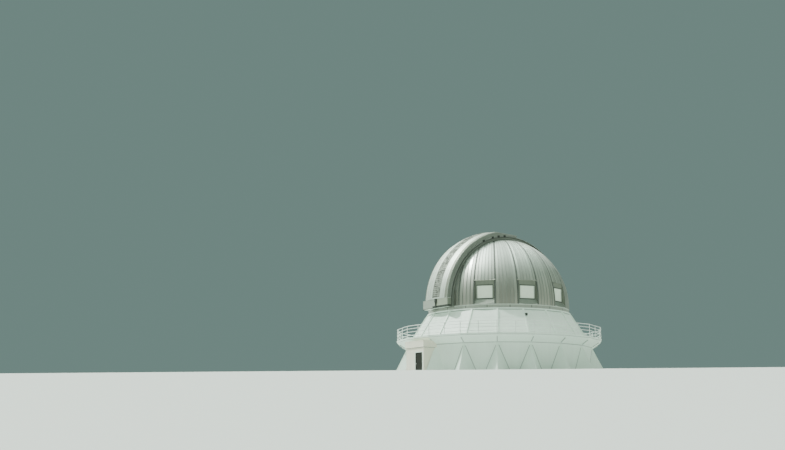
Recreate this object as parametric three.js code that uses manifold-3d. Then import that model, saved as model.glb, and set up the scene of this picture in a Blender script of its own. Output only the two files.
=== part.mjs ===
// Observatory dome with a round building below it, in millimetres, +Z up, ground at Z = 0.
// The photographed front faces -Y. An azimuth is measured from -Y, and grows towards +X.
import * as THREE from "three";
import { mergeVertices } from "three/addons/utils/BufferGeometryUtils.js";
import Module from "manifold-3d";

const wasm = await Module();
wasm.setup();

// Driving dimensions
const GAP = 0.3; // between two pieces that touch
const SIDES = 18; // sides of the building's plan
const BAY = 360 / SIDES; // degrees
const FULL = 14000; // longer than anything that it cuts
const BUILDING_TURN = -1; // degrees, of the plan's corners from the photographed front

const WALL_CORNER_R = 8300;
const WALL_THICK = 200;
const WALL_TOP = 3330;
const WALL_START = -50; // where the first of the six wall segments begins
const FLOOR_THICK = 100;
const UPPER_FLOOR_TOP = 3480;
const UPPER_FLOOR_R = 8200;

const BUTTRESS_FOOT_R = 9700;
const BUTTRESS_HALF_WIDTH = 1180;
const COVE_FOOT = 2760;
const DECK_R = 9170;
const DECK_EDGE = 140;

const RAIL_R = 9110;
const RAIL_TOP = 4520;
const RAIL_BAR = 50;
const RAIL_HEIGHTS = [3660, 3960, 4240, RAIL_TOP - RAIL_BAR / 2];

const SKIRT_FOOT_R = 7870;
const SKIRT_HEAD_R = 6390;
const SKIRT_HEAD = 5760;
const SKIRT_THICK = 120; // measured level
const SKIRT_STEP_Z = 5670; // above it the skirt steps back, which leaves a shadow gap under the track
const SKIRT_STEP = 70;
const SKIRT_RIB_PROUD = 70;
const SKIRT_RIB_WIDTH = 120;

const TRACK_R = 6400;
const TRACK_INNER_R = 6050;
const TRACK_TOP = 5860;
const RUN_GAP = 0.5; // between a runner and what it runs on
const CRANE_RAIL_R = [6080, 6150];

const ENTRY_AZIMUTH = -48; // in the building's own frame, as all azimuths of the building are
const ENTRY_FRONT = 9560;
const ENTRY_HALF_WIDTH = 1200;
const ENTRY_WALL = 200;
const ENTRY_WALL_TOP = 2470;
const ENTRY_ROOF_TOP = 3030;
const ENTRY_ROOF_SLAB = 180;
const ENTRY_PARAPET = 80;
const ENTRY_EAVE = 70;
const ENTRY_REBATE = 70; // how far the block is let into the round wall
const PASSAGE_HALF_WIDTH = 1000;
const PASSAGE_TOP = 2300;
const DOOR_LEFT = 60;
const DOOR_RIGHT = 1000;
const DOOR_TOP = 2030;
const DOOR_THICK = 50;
const DOOR_SETBACK = 10;
const DOOR_CLEARANCE = 7;
const DOOR_PIN = [996, -9553]; // in the entry's own frame
const KNUCKLE_R = 12;
const KNUCKLE_HEIGHT = 90;
const KNUCKLES = [400, 1090, 1780]; // foot of the leaf's knuckle of each hinge

const DOME_AZIMUTH = -54; // the way the slit faces
const DOME_R = 6250;
const DOME_CENTRE = 6410;
const DOME_SHELL = 80;
const DOME_FOOT = 6120;
const DOME_STEPS = 60;
const BASE_RING_FOOT = 5880;
const BASE_RING_R = 6270;
const BASE_RING_INNER_R = 5950;

const GIRDER_INNER_X = 1530;
const GIRDER_OUTER_X = 1650;
const GIRDER_R = 6360;
const GIRDER_INNER_R = 5950;
const SLIT_END_Y = 800; // how far the slit runs on past the crown
const SLIT_SILL = 160; // height of the curb under the slit

const HOOD_R = 6980; // of the skin, which is domed in both directions
const HOOD_SKIN = 60;
const HOOD_SIDE_R = 6390;
const HOOD_SIDE_THICK = 80;
const HOOD_HALF_WIDTH = 1660;
const HOOD_LOW = 4; // degrees above level, where the nose takes over
const HOOD_HIGH = 98;
const HOOD_STEPS = 90; // of a full turn
const HOOD_FLAT = 6570; // height of the skin's flat upper end over the dome's centre
const HOOD_FLAT_FALL = 0.07; // how far the flat end falls for each millimetre backwards
const NOSE_FOOT = 6100;
const NOSE_TIP_R = 6930;
const NOSE_SIDE_R = 6830;
const NOSE_BACK_R = 6430;
const NOSE_HALF_WIDTH = 1900;
const NOSE_WALL = 60;
const NOSE_END = 500; // solid length of each end of the nose
const TAIL_INNER_R = 6400;
const TAIL_ANGLE = 0.6; // degrees that the tail takes up
const ROLLER_R = 70;
const ROLLER_X = 1545;
const ROLLER_ANGLES = [10, 30, 50, 70, 85];

const VENT_OFFSETS = [42.7, 78.6, 114.6, 150.6]; // degrees from the slit, on either side
const VENT_HALF_WIDTH = 655;
const VENT_FOOT = 6740;
const VENT_HEAD = 7810;
const VENT_PANEL = 50;
const VENT_SETBACK = 20;
const VENT_BAY_FACE = 5956; // distance of a vent bay's flat back from the dome's axis
const VENT_BAY_HALF_WIDTH = 840;
const VENT_BAY_SPLAY = 0.3; // how far a cheek spreads for each millimetre outwards
const VENT_BAY_HEAD = 8300;
const VENT_SILL = [[5956, 6680], [6262, 6190]]; // head and foot of the sloping sill
const VENT_LINING = 100;
const VENT_REACH = 6600; // past the shell
const VENT_HEAD_LAP = 60; // how far the lining runs up behind the shell over the lintel

// Materials
function paint(name, colour, roughness, metalness) {
  const made = new THREE.MeshStandardMaterial({ color: colour, roughness, metalness });
  made.name = name;
  return made;
}
const whitePaint = paint("white_cladding", 0xdde5df, 0.55, 0.0);
const entryPaint = paint("entry_render", 0xe2ddd0, 0.8, 0.0);
const concrete = paint("concrete", 0xb5b3ab, 0.9, 0.0);
const railPaint = paint("rail_paint", 0xe4ebe6, 0.5, 0.1);
const aluminium = paint("aluminium_skin", 0xa9ada6, 0.38, 0.9);
const darkAluminium = paint("girder_paint", 0x8d928b, 0.5, 0.7);
const ventPaint = paint("vent_panel", 0xdfe0d2, 0.6, 0.0);
const doorPaint = paint("door_paint", 0x1d1f1d, 0.45, 0.2);

// Solids
function toSolid(geometry) {
  const bare = geometry.clone();
  bare.deleteAttribute("normal");
  bare.deleteAttribute("uv");
  const merged = mergeVertices(bare, 1e-3);
  return new wasm.Manifold(
    new wasm.Mesh({
      numProp: 3,
      vertProperties: new Float32Array(merged.attributes.position.array),
      triVerts: new Uint32Array(merged.index.array),
    }),
  );
}

function toGeometry(solid) {
  const found = solid.getMesh();
  const positions = new Float32Array(found.numVert * 3);
  for (let i = 0; i < found.numVert; i++) {
    const from = i * found.numProp;
    positions.set(found.vertProperties.subarray(from, from + 3), i * 3);
  }
  const geometry = new THREE.BufferGeometry();
  geometry.setAttribute("position", new THREE.BufferAttribute(positions, 3));
  geometry.setIndex(new THREE.BufferAttribute(new Uint32Array(found.triVerts), 1));
  const flat = geometry.toNonIndexed();
  flat.computeVertexNormals();
  return flat;
}

function join(solids) {
  return solids.reduce((sum, next) => sum.add(next));
}

function turned(solid, azimuth) {
  return solid.rotate([0, 0, azimuth]);
}

function box(x0, x1, y0, y1, z0, z1) {
  const geometry = new THREE.BoxGeometry(x1 - x0, y1 - y0, z1 - z0);
  geometry.translate((x0 + x1) / 2, (y0 + y1) / 2, (z0 + z1) / 2);
  return toSolid(geometry);
}

// A closed profile of [radius, height] corners, turned round the Z axis.
// The first corner lies at azimuth 0, so a plan of SIDES sides has its corners at whole bays.
function ring(profile, steps) {
  const points = [...profile, profile[0]].map(([r, z]) => new THREE.Vector2(r, z));
  const geometry = new THREE.LatheGeometry(points, steps);
  geometry.rotateX(Math.PI / 2);
  const made = toSolid(geometry);
  return made.volume() < 0 ? ring([...profile].reverse(), steps) : made;
}

// A flat outline of [y, z] corners, made thick from x0 to x1.
function plate(outline, x0, x1) {
  const shape = new THREE.Shape(outline.map(([y, z]) => new THREE.Vector2(y, z)));
  const geometry = new THREE.ExtrudeGeometry(shape, { depth: x1 - x0, bevelEnabled: false });
  const axes = new THREE.Matrix4().makeBasis(
    new THREE.Vector3(0, 1, 0),
    new THREE.Vector3(0, 0, 1),
    new THREE.Vector3(1, 0, 0),
  );
  geometry.applyMatrix4(axes);
  geometry.translate(x0, 0, 0);
  return toSolid(geometry);
}

// A flat outline of [x, y] corners, made thick from z0 to z1.
function slab(outline, z0, z1) {
  const shape = new THREE.Shape(outline.map(([x, y]) => new THREE.Vector2(x, y)));
  const geometry = new THREE.ExtrudeGeometry(shape, { depth: z1 - z0, bevelEnabled: false });
  geometry.translate(0, 0, z0);
  return toSolid(geometry);
}

function plan(r, azimuth) {
  const a = THREE.MathUtils.degToRad(azimuth);
  return [r * Math.sin(a), -r * Math.cos(a)];
}

// A slice of pie between two azimuths, kept half a gap inside each of its two sides.
function slice(from, to) {
  const inset = THREE.MathUtils.radToDeg(GAP / 2 / 7000);
  const a = from + inset;
  const b = to - inset;
  const outline = [[0, 0]];
  const steps = Math.ceil((b - a) / 50);
  for (let i = 0; i <= steps; i++) outline.push(plan(FULL, a + ((b - a) * i) / steps));
  return slab(outline, -100, FULL);
}

// Points on a circle about the dome's centre, from the front's level line up and over.
function arc(r, from, to, steps) {
  const points = [];
  for (let i = 0; i <= steps; i++) {
    const a = THREE.MathUtils.degToRad(from + ((to - from) * i) / steps);
    points.push([-r * Math.cos(a), DOME_CENTRE + r * Math.sin(a)]);
  }
  return points;
}

const root = new THREE.Group();
root.name = "observatory_dome";
const building = new THREE.Group();
building.name = "building";
building.rotation.z = THREE.MathUtils.degToRad(BUILDING_TURN);
const dome = new THREE.Group();
dome.name = "dome";
dome.rotation.z = THREE.MathUtils.degToRad(DOME_AZIMUTH);
const shutter = new THREE.Group();
shutter.name = "shutter";
dome.add(shutter);
root.add(building, dome);

function place(parent, name, solid, material) {
  const mesh = new THREE.Mesh(toGeometry(solid), material);
  mesh.name = name;
  parent.add(mesh);
}

// Ground floor, with the entry's floor
const wallInnerR = WALL_CORNER_R - WALL_THICK / Math.cos(THREE.MathUtils.degToRad(BAY / 2));
const wallFaceY = -WALL_CORNER_R * Math.cos(THREE.MathUtils.degToRad(BAY / 2));
const roundFloor = ring([[0, 0], [wallInnerR - GAP, 0], [wallInnerR - GAP, FLOOR_THICK], [0, FLOOR_THICK]], SIDES);
const entryInside = ENTRY_HALF_WIDTH - ENTRY_WALL - GAP;
const entryFloor = box(-entryInside, entryInside, -ENTRY_FRONT + ENTRY_WALL + GAP, wallFaceY + WALL_THICK + 400, 0, FLOOR_THICK);
const threshold = box(DOOR_LEFT + GAP, DOOR_RIGHT - GAP, -ENTRY_FRONT, -ENTRY_FRONT + ENTRY_WALL + 1, 0, FLOOR_THICK);
place(building, "ground_floor", roundFloor.add(turned(entryFloor.add(threshold), ENTRY_AZIMUTH)), concrete);

// Lower walls with their splayed buttresses
function buttress() {
  const sink = 60;
  const corner = WALL_CORNER_R - sink;
  const lean = THREE.MathUtils.degToRad(BAY / 2);
  const side = (sign) => [
    sign * BUTTRESS_HALF_WIDTH * Math.cos(lean),
    -corner + BUTTRESS_HALF_WIDTH * Math.sin(lean),
  ];
  const outline = [side(-1), [0, -BUTTRESS_FOOT_R], side(1), [0, -corner + sink * 2]];
  const foot = slab(outline, 0, COVE_FOOT - GAP);
  // The slanting faces run from the foot's outline up to one point at the wall's corner.
  const rise = COVE_FOOT - GAP;
  const apex = new THREE.Vector3(0, -WALL_CORNER_R + 20, rise);
  const positions = [];
  const floorPoints = outline.map(([x, y]) => new THREE.Vector3(x, y, 0));
  for (let i = 0; i < floorPoints.length; i++) {
    const next = floorPoints[(i + 1) % floorPoints.length];
    positions.push(...floorPoints[i].toArray(), ...next.toArray(), ...apex.toArray());
  }
  for (const [i, j, k] of [[0, 2, 1], [0, 3, 2]]) {
    positions.push(...floorPoints[i].toArray(), ...floorPoints[j].toArray(), ...floorPoints[k].toArray());
  }
  const geometry = new THREE.BufferGeometry();
  geometry.setAttribute("position", new THREE.BufferAttribute(new Float32Array(positions), 3));
  return toSolid(geometry).intersect(foot);
}

const wallRing = ring(
  [[wallInnerR, 0], [WALL_CORNER_R, 0], [WALL_CORNER_R, WALL_TOP], [wallInnerR, WALL_TOP]],
  SIDES,
);
const wallInside = ring([[0, -100], [wallInnerR + 50, -100], [wallInnerR + 50, FULL], [0, FULL]], SIDES);
const oneButtress = buttress();
const entryEnvelope = turned(
  box(-ENTRY_HALF_WIDTH - GAP, ENTRY_HALF_WIDTH + GAP, -ENTRY_FRONT - 500, wallFaceY + ENTRY_REBATE, -100, COVE_FOOT),
  ENTRY_AZIMUTH,
);
const eaveEnvelope = turned(
  box(
    -ENTRY_HALF_WIDTH - ENTRY_EAVE - GAP,
    ENTRY_HALF_WIDTH + ENTRY_EAVE + GAP,
    -ENTRY_FRONT - 500,
    wallFaceY + ENTRY_REBATE,
    ENTRY_WALL_TOP,
    COVE_FOOT,
  ),
  ENTRY_AZIMUTH,
);
const passage = turned(
  box(-PASSAGE_HALF_WIDTH, PASSAGE_HALF_WIDTH, -ENTRY_FRONT, wallFaceY + WALL_THICK + 500, -100, FULL),
  ENTRY_AZIMUTH,
);
for (let i = 0; i < 6; i++) {
  const from = WALL_START + i * 60;
  const corners = [10, 30, 50].map((offset) => turned(oneButtress, from + offset));
  const outside = join(corners).subtract(wallInside);
  const whole = wallRing.intersect(slice(from, from + 60)).add(outside);
  const clear = whole.subtract(entryEnvelope).subtract(eaveEnvelope).subtract(passage);
  place(building, "wall_" + (i + 1), clear, whitePaint);
}
const overPassage = turned(
  box(-PASSAGE_HALF_WIDTH + GAP, PASSAGE_HALF_WIDTH - GAP, -ENTRY_FRONT, wallFaceY + WALL_THICK + 500, PASSAGE_TOP, WALL_TOP),
  ENTRY_AZIMUTH,
);
place(building, "wall_over_passage", wallRing.intersect(overPassage).subtract(entryEnvelope), whitePaint);

// Upper floor and the balcony's deck, which hangs a cove over the walls
const upperFloor = ring(
  [[0, WALL_TOP + GAP], [UPPER_FLOOR_R, WALL_TOP + GAP], [UPPER_FLOOR_R, UPPER_FLOOR_TOP], [0, UPPER_FLOOR_TOP]],
  SIDES,
);
place(building, "upper_floor", upperFloor, concrete);

const deck = ring(
  [
    [UPPER_FLOOR_R + GAP, WALL_TOP + GAP],
    [UPPER_FLOOR_R + GAP, UPPER_FLOOR_TOP],
    [DECK_R, UPPER_FLOOR_TOP],
    [DECK_R, UPPER_FLOOR_TOP - DECK_EDGE],
    [WALL_CORNER_R + GAP, COVE_FOOT],
    [WALL_CORNER_R + GAP, WALL_TOP + GAP],
  ],
  SIDES,
);
const thirds = [-70, 50, 170];
thirds.forEach((from, i) => {
  place(building, "balcony_deck_" + (i + 1), deck.intersect(slice(from, from + 120)), whitePaint);
});

// Balcony railing, in three lengths
const bars = RAIL_HEIGHTS.map((z) => {
  const half = RAIL_BAR / 2;
  return ring(
    [[RAIL_R - half, z - half], [RAIL_R + half, z - half], [RAIL_R + half, z + half], [RAIL_R - half, z + half]],
    SIDES,
  );
});
const rails = join(bars);
const railFaceR = RAIL_R * Math.cos(THREE.MathUtils.degToRad(BAY / 2));
function post(r, azimuth) {
  const half = RAIL_BAR / 2 + 3;
  return turned(box(-half, half, -r - half, -r + half, UPPER_FLOOR_TOP + GAP, RAIL_TOP - 4), azimuth);
}
thirds.forEach((start, i) => {
  const from = start + 5;
  const posts = [];
  for (let bay = 0; bay < 6; bay++) {
    posts.push(post(railFaceR, start + 20 * bay + 20));
    posts.push(post(RAIL_R, start + 20 * bay + 10));
  }
  place(building, "balcony_railing_" + (i + 1), join([rails.intersect(slice(from, from + 120)), ...posts]), railPaint);
});

// Flaring skirt between the deck and the dome's track
const skirtFoot = UPPER_FLOOR_TOP + GAP;
const skirtLean = (SKIRT_FOOT_R - SKIRT_HEAD_R) / (SKIRT_HEAD - skirtFoot);
const stepR = SKIRT_HEAD_R + skirtLean * (SKIRT_HEAD - SKIRT_STEP_Z);
const skirt = ring(
  [
    [SKIRT_FOOT_R - SKIRT_THICK, skirtFoot],
    [SKIRT_FOOT_R, skirtFoot],
    [stepR, SKIRT_STEP_Z],
    [stepR - SKIRT_STEP, SKIRT_STEP_Z],
    [SKIRT_HEAD_R - SKIRT_STEP, SKIRT_HEAD],
    [SKIRT_HEAD_R - SKIRT_THICK, SKIRT_HEAD],
  ],
  SIDES,
);
const skirtRib = plate(
  [
    [-SKIRT_FOOT_R - SKIRT_RIB_PROUD, skirtFoot],
    [-SKIRT_FOOT_R + 40, skirtFoot],
    [-SKIRT_HEAD_R + 40, SKIRT_HEAD],
    [-SKIRT_HEAD_R - SKIRT_RIB_PROUD, SKIRT_HEAD],
  ],
  -SKIRT_RIB_WIDTH / 2,
  SKIRT_RIB_WIDTH / 2,
);
thirds.forEach((from, i) => {
  const ribs = [10, 30, 50, 70, 90, 110].map((offset) => turned(skirtRib, from + offset));
  place(building, "skirt_" + (i + 1), join([skirt.intersect(slice(from, from + 120)), ...ribs]), whitePaint);
});

// Track ring, with the rail that the turning dome runs on
const track = ring(
  [
    [TRACK_INNER_R, SKIRT_HEAD + GAP],
    [TRACK_R, SKIRT_HEAD + GAP],
    [TRACK_R, TRACK_TOP],
    [CRANE_RAIL_R[1], TRACK_TOP],
    [CRANE_RAIL_R[1], BASE_RING_FOOT - RUN_GAP],
    [CRANE_RAIL_R[0], BASE_RING_FOOT - RUN_GAP],
    [CRANE_RAIL_R[0], TRACK_TOP],
    [TRACK_INNER_R, TRACK_TOP],
  ],
  54,
);
place(building, "track_ring", track, whitePaint);

// Entrance block
const entryBack = wallFaceY + ENTRY_REBATE - GAP;
const entryFront = -ENTRY_FRONT;
const entryLeft = join([
  box(-ENTRY_HALF_WIDTH, -ENTRY_HALF_WIDTH + ENTRY_WALL, entryFront, entryBack, 0, ENTRY_WALL_TOP),
  box(-ENTRY_HALF_WIDTH, DOOR_LEFT, entryFront, entryFront + ENTRY_WALL, 0, ENTRY_WALL_TOP),
]);
place(building, "entry_wall_left", turned(entryLeft, ENTRY_AZIMUTH), entryPaint);

// Each hinge has one knuckle on the leaf and one above it on the wall, round the same pin
function knuckles(r, rise, height) {
  return join(
    KNUCKLES.map((foot) => {
      const geometry = new THREE.CylinderGeometry(r, r, height, 12);
      geometry.rotateX(Math.PI / 2);
      geometry.translate(DOOR_PIN[0], DOOR_PIN[1], foot + rise + height / 2);
      return toSolid(geometry);
    }),
  );
}
const leafKnuckles = knuckles(KNUCKLE_R, 0, KNUCKLE_HEIGHT);
const wallKnuckles = knuckles(KNUCKLE_R, KNUCKLE_HEIGHT + RUN_GAP, KNUCKLE_HEIGHT);
const leafRecess = knuckles(KNUCKLE_R + 6, -6, KNUCKLE_HEIGHT + 6 + RUN_GAP);
const wallRecess = knuckles(KNUCKLE_R + 6, KNUCKLE_HEIGHT, KNUCKLE_HEIGHT + 6);
const entryRight = box(DOOR_RIGHT, ENTRY_HALF_WIDTH, entryFront, entryBack, 0, ENTRY_WALL_TOP);
const hungWall = entryRight.subtract(leafRecess).add(wallKnuckles);
place(building, "entry_wall_right", turned(hungWall, ENTRY_AZIMUTH), entryPaint);
const overDoor = box(DOOR_LEFT + GAP, DOOR_RIGHT - GAP, entryFront, entryFront + ENTRY_WALL, DOOR_TOP, ENTRY_WALL_TOP);
place(building, "entry_lintel", turned(overDoor, ENTRY_AZIMUTH), entryPaint);
const eaveX = ENTRY_HALF_WIDTH + ENTRY_EAVE;
const roofBox = box(-eaveX, eaveX, entryFront - ENTRY_EAVE, entryBack, ENTRY_WALL_TOP + GAP, ENTRY_ROOF_TOP);
const roofTrough = box(
  -eaveX + ENTRY_PARAPET,
  eaveX - ENTRY_PARAPET,
  entryFront - ENTRY_EAVE + ENTRY_PARAPET,
  0,
  ENTRY_WALL_TOP + ENTRY_ROOF_SLAB,
  FULL,
);
const coveAndWall = ring(
  [
    [wallInnerR, COVE_FOOT - GAP],
    [WALL_CORNER_R + GAP * 2, COVE_FOOT - GAP],
    [DECK_R + GAP, UPPER_FLOOR_TOP - DECK_EDGE - GAP],
    [DECK_R + GAP, FULL],
    [wallInnerR, FULL],
  ],
  SIDES,
);
const entryRoof = turned(roofBox.subtract(roofTrough), ENTRY_AZIMUTH).subtract(coveAndWall);
place(building, "entry_roof", entryRoof, entryPaint);

const leaf = box(
  DOOR_LEFT + DOOR_CLEARANCE,
  DOOR_RIGHT - DOOR_CLEARANCE,
  entryFront + DOOR_SETBACK,
  entryFront + DOOR_SETBACK + DOOR_THICK,
  FLOOR_THICK + DOOR_CLEARANCE,
  DOOR_TOP - DOOR_CLEARANCE,
);
const hungLeaf = leaf.subtract(wallRecess).add(leafKnuckles);
place(building, "door_leaf", turned(hungLeaf, ENTRY_AZIMUTH), doorPaint);

// Turning dome, drawn with its slit facing -Y
const baseRing = ring(
  [
    [BASE_RING_INNER_R, BASE_RING_FOOT],
    [BASE_RING_R, BASE_RING_FOOT],
    [BASE_RING_R, DOME_FOOT - GAP],
    [BASE_RING_INNER_R, DOME_FOOT - GAP],
  ],
  DOME_STEPS,
);
const sillRing = ring(
  [
    [DOME_R - DOME_SHELL, DOME_FOOT - 20],
    [DOME_R, DOME_FOOT - 20],
    [DOME_R, DOME_FOOT + SLIT_SILL],
    [DOME_R - DOME_SHELL, DOME_FOOT + SLIT_SILL],
  ],
  DOME_STEPS,
);
const slitFoot = box(-GIRDER_INNER_X + GAP, GIRDER_INNER_X - GAP, -FULL, 0, 0, FULL);
place(dome, "dome_base_ring", baseRing.add(sillRing.intersect(slitFoot)), aluminium);

function shellProfile() {
  const rows = 15;
  const inner = DOME_R - DOME_SHELL;
  const points = [[inner, DOME_FOOT], [DOME_R, DOME_FOOT]];
  for (let i = 0; i <= rows; i++) {
    const a = ((Math.PI / 2) * i) / rows;
    points.push([i === rows ? 0 : DOME_R * Math.cos(a), DOME_CENTRE + DOME_R * Math.sin(a)]);
  }
  for (let i = rows; i >= 0; i--) {
    const a = ((Math.PI / 2) * i) / rows;
    points.push([i === rows ? 0 : inner * Math.cos(a), DOME_CENTRE + inner * Math.sin(a)]);
  }
  return points;
}
const shell = ring(shellProfile(), DOME_STEPS);

// A flat vent bay let into the shell, with splayed cheeks, a sloping sill and a straight lintel
function bayPlan(grow, top) {
  const back = VENT_BAY_FACE - grow;
  const half = VENT_BAY_HALF_WIDTH + grow;
  const front = half + VENT_BAY_SPLAY * (VENT_REACH - back);
  return slab([[-half, -back], [half, -back], [front, -VENT_REACH], [-front, -VENT_REACH]], DOME_FOOT, top);
}
const [[sillHeadR, sillHead], [sillFootR, sillFoot]] = VENT_SILL;
const sillSlope = (sillHead - sillFoot) / (sillFootR - sillHeadR);
// The space above the sill's slope, lowered by a drop, from a given distance outwards
function aboveSill(drop, from) {
  const height = (r) => sillHead - drop - sillSlope * (r - sillHeadR);
  return plate(
    [[-VENT_REACH, height(VENT_REACH)], [-from, height(from)], [-from, FULL], [-VENT_REACH, FULL]],
    -FULL,
    FULL,
  );
}
const solidDome = ring([[0, DOME_FOOT], ...shellProfile().slice(1, 18)], DOME_STEPS);
const bayBody = bayPlan(VENT_LINING, VENT_BAY_HEAD + VENT_HEAD_LAP)
  .intersect(aboveSill(VENT_LINING * 1.6, VENT_BAY_FACE - VENT_LINING))
  .intersect(solidDome);
const lintel = box(
  -VENT_BAY_HALF_WIDTH,
  VENT_BAY_HALF_WIDTH,
  -VENT_BAY_FACE,
  -VENT_BAY_FACE + VENT_LINING,
  VENT_HEAD + 1,
  VENT_BAY_HEAD,
);
const bayAir = bayPlan(0, VENT_BAY_HEAD + VENT_HEAD_LAP).intersect(aboveSill(0, VENT_BAY_FACE));
const ventHole = box(-VENT_HALF_WIDTH, VENT_HALF_WIDTH, -FULL, -5000, VENT_FOOT, VENT_HEAD);
const offsets = [...VENT_OFFSETS, ...VENT_OFFSETS.map((a) => -a)];
const bodies = join(offsets.flatMap((a) => [turned(bayBody, a), turned(lintel, a)]));
const spaces = join(offsets.flatMap((a) => [turned(bayAir, a), turned(ventHole, a)]));
const dressed = shell.add(bodies).subtract(spaces);
const quarters = {
  shell_right_front: box(GIRDER_OUTER_X + GAP, FULL, -FULL, -GAP / 2, 0, FULL),
  shell_right_back: box(GIRDER_OUTER_X + GAP, FULL, GAP / 2, FULL, 0, FULL),
  shell_left_front: box(-FULL, -GIRDER_OUTER_X - GAP, -FULL, -GAP / 2, 0, FULL),
  shell_left_back: box(-FULL, -GIRDER_OUTER_X - GAP, GAP / 2, FULL, 0, FULL),
};
for (const [name, part] of Object.entries(quarters)) place(dome, name, dressed.intersect(part), aluminium);

const backStrip = box(-GIRDER_INNER_X + GAP, GIRDER_INNER_X - GAP, SLIT_END_Y, FULL, 0, FULL);
place(dome, "shell_back_strip", shell.intersect(backStrip), aluminium);

const girderOutline = [
  [-GIRDER_R, DOME_FOOT],
  ...arc(GIRDER_R, 0, 180, 36),
  [GIRDER_R, DOME_FOOT],
  [GIRDER_INNER_R, DOME_FOOT],
  ...arc(GIRDER_INNER_R, 180, 0, 36),
  [-GIRDER_INNER_R, DOME_FOOT],
];
place(dome, "girder_right", plate(girderOutline, GIRDER_INNER_X, GIRDER_OUTER_X), darkAluminium);
place(dome, "girder_left", plate(girderOutline, -GIRDER_OUTER_X, -GIRDER_INNER_X), darkAluminium);

const ventPanel = box(
  -VENT_HALF_WIDTH + GAP,
  VENT_HALF_WIDTH - GAP,
  -VENT_BAY_FACE + VENT_SETBACK,
  -VENT_BAY_FACE + VENT_SETBACK + VENT_PANEL,
  VENT_FOOT + GAP,
  VENT_HEAD - GAP,
);
offsets.forEach((a, i) => {
  const side = i < VENT_OFFSETS.length ? "right_" : "left_";
  const number = (i % VENT_OFFSETS.length) + 1;
  place(dome, "vent_panel_" + side + number, turned(ventPanel, a), ventPaint);
});

// Up-and-over shutter, drawn closed, with a skin that is part of a globe about the dome's centre
function globe(r, halfWidth) {
  const strips = 6;
  const profile = [[0, -halfWidth]];
  for (let i = 0; i <= strips; i++) {
    const x = halfWidth * ((2 * i) / strips - 1);
    profile.push([Math.sqrt(r * r - x * x), x]);
  }
  profile.push([0, halfWidth]);
  return ring(profile, HOOD_STEPS).rotate([0, 90, 0]).translate([0, 0, DOME_CENTRE]);
}

// All below the skin's flat upper end, lowered by a drop
function belowFlat(drop) {
  const height = (y) => DOME_CENTRE + HOOD_FLAT - drop - HOOD_FLAT_FALL * y;
  return plate([[-FULL, height(-FULL)], [-FULL, 0], [FULL, 0], [FULL, height(FULL)]], -FULL, FULL);
}

function sector(innerR, from, to, x0, x1) {
  return plate([...arc(FULL, from, to, 12), ...arc(innerR, to, from, 24)], x0, x1);
}

function hoodInside(drop) {
  return globe(HOOD_R - drop, HOOD_HALF_WIDTH + HOOD_SKIN).intersect(belowFlat(drop));
}
const hoodOutside = globe(HOOD_R, HOOD_HALF_WIDTH)
  .intersect(belowFlat(0))
  .intersect(sector(HOOD_SIDE_R, HOOD_LOW, HOOD_HIGH, -FULL, FULL));
place(shutter, "shutter_skin", hoodOutside.subtract(hoodInside(HOOD_SKIN)), aluminium);

const sideInner = HOOD_HALF_WIDTH - HOOD_SIDE_THICK;
// Rollers under each side run on the girders, and stand on corners of the girders' facets
function rollers(x0, x1) {
  return join(
    ROLLER_ANGLES.map((angle) => {
      const geometry = new THREE.CylinderGeometry(ROLLER_R, ROLLER_R, x1 - x0, 16);
      geometry.rotateZ(Math.PI / 2);
      geometry.translate((x0 + x1) / 2, -GIRDER_R - RUN_GAP - ROLLER_R, 0);
      geometry.rotateX(-THREE.MathUtils.degToRad(angle));
      geometry.translate(0, 0, DOME_CENTRE);
      return toSolid(geometry);
    }),
  );
}
const underSkin = hoodInside(HOOD_SKIN + GAP);
const rightSide = sector(HOOD_SIDE_R, HOOD_LOW, HOOD_HIGH, sideInner, HOOD_HALF_WIDTH).intersect(underSkin);
const leftSide = sector(HOOD_SIDE_R, HOOD_LOW, HOOD_HIGH, -HOOD_HALF_WIDTH, -sideInner).intersect(underSkin);
const rollerInset = 40; // how far a roller's end is let into its side
place(shutter, "shutter_side_right", rightSide.add(rollers(ROLLER_X, sideInner + rollerInset)), darkAluminium);
place(shutter, "shutter_side_left", leftSide.add(rollers(-sideInner - rollerInset, -ROLLER_X)), darkAluminium);

// The nose is wider than the skin and comes to a blunt ridge in the middle
const noseBlock = slab(
  [
    [-NOSE_HALF_WIDTH, -NOSE_SIDE_R],
    [0, -NOSE_TIP_R],
    [NOSE_HALF_WIDTH, -NOSE_SIDE_R],
    [NOSE_HALF_WIDTH, -NOSE_BACK_R],
    [-NOSE_HALF_WIDTH, -NOSE_BACK_R],
  ],
  NOSE_FOOT,
  FULL,
);
const hollowX = NOSE_HALF_WIDTH - NOSE_END;
const noseHollow = slab(
  [
    [-hollowX, -NOSE_SIDE_R + NOSE_WALL],
    [0, -NOSE_TIP_R + NOSE_WALL],
    [hollowX, -NOSE_SIDE_R + NOSE_WALL],
    [hollowX, -NOSE_BACK_R - NOSE_WALL],
    [-hollowX, -NOSE_BACK_R - NOSE_WALL],
  ],
  NOSE_FOOT + NOSE_WALL,
  FULL,
);
const noseRise = Math.tan(THREE.MathUtils.degToRad(HOOD_LOW));
const belowHood = plate(
  [[0, DOME_CENTRE - GAP * 1.01], [-FULL, DOME_CENTRE - GAP * 1.01 + FULL * noseRise], [-FULL, 0], [0, 0]],
  -FULL,
  FULL,
);
place(shutter, "shutter_nose", noseBlock.subtract(noseHollow).intersect(belowHood), aluminium);

const tail = sector(TAIL_INNER_R, HOOD_HIGH - TAIL_ANGLE, HOOD_HIGH, -sideInner + GAP, sideInner - GAP);
place(shutter, "shutter_tail", tail.intersect(underSkin), darkAluminium);

export default root;
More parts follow.
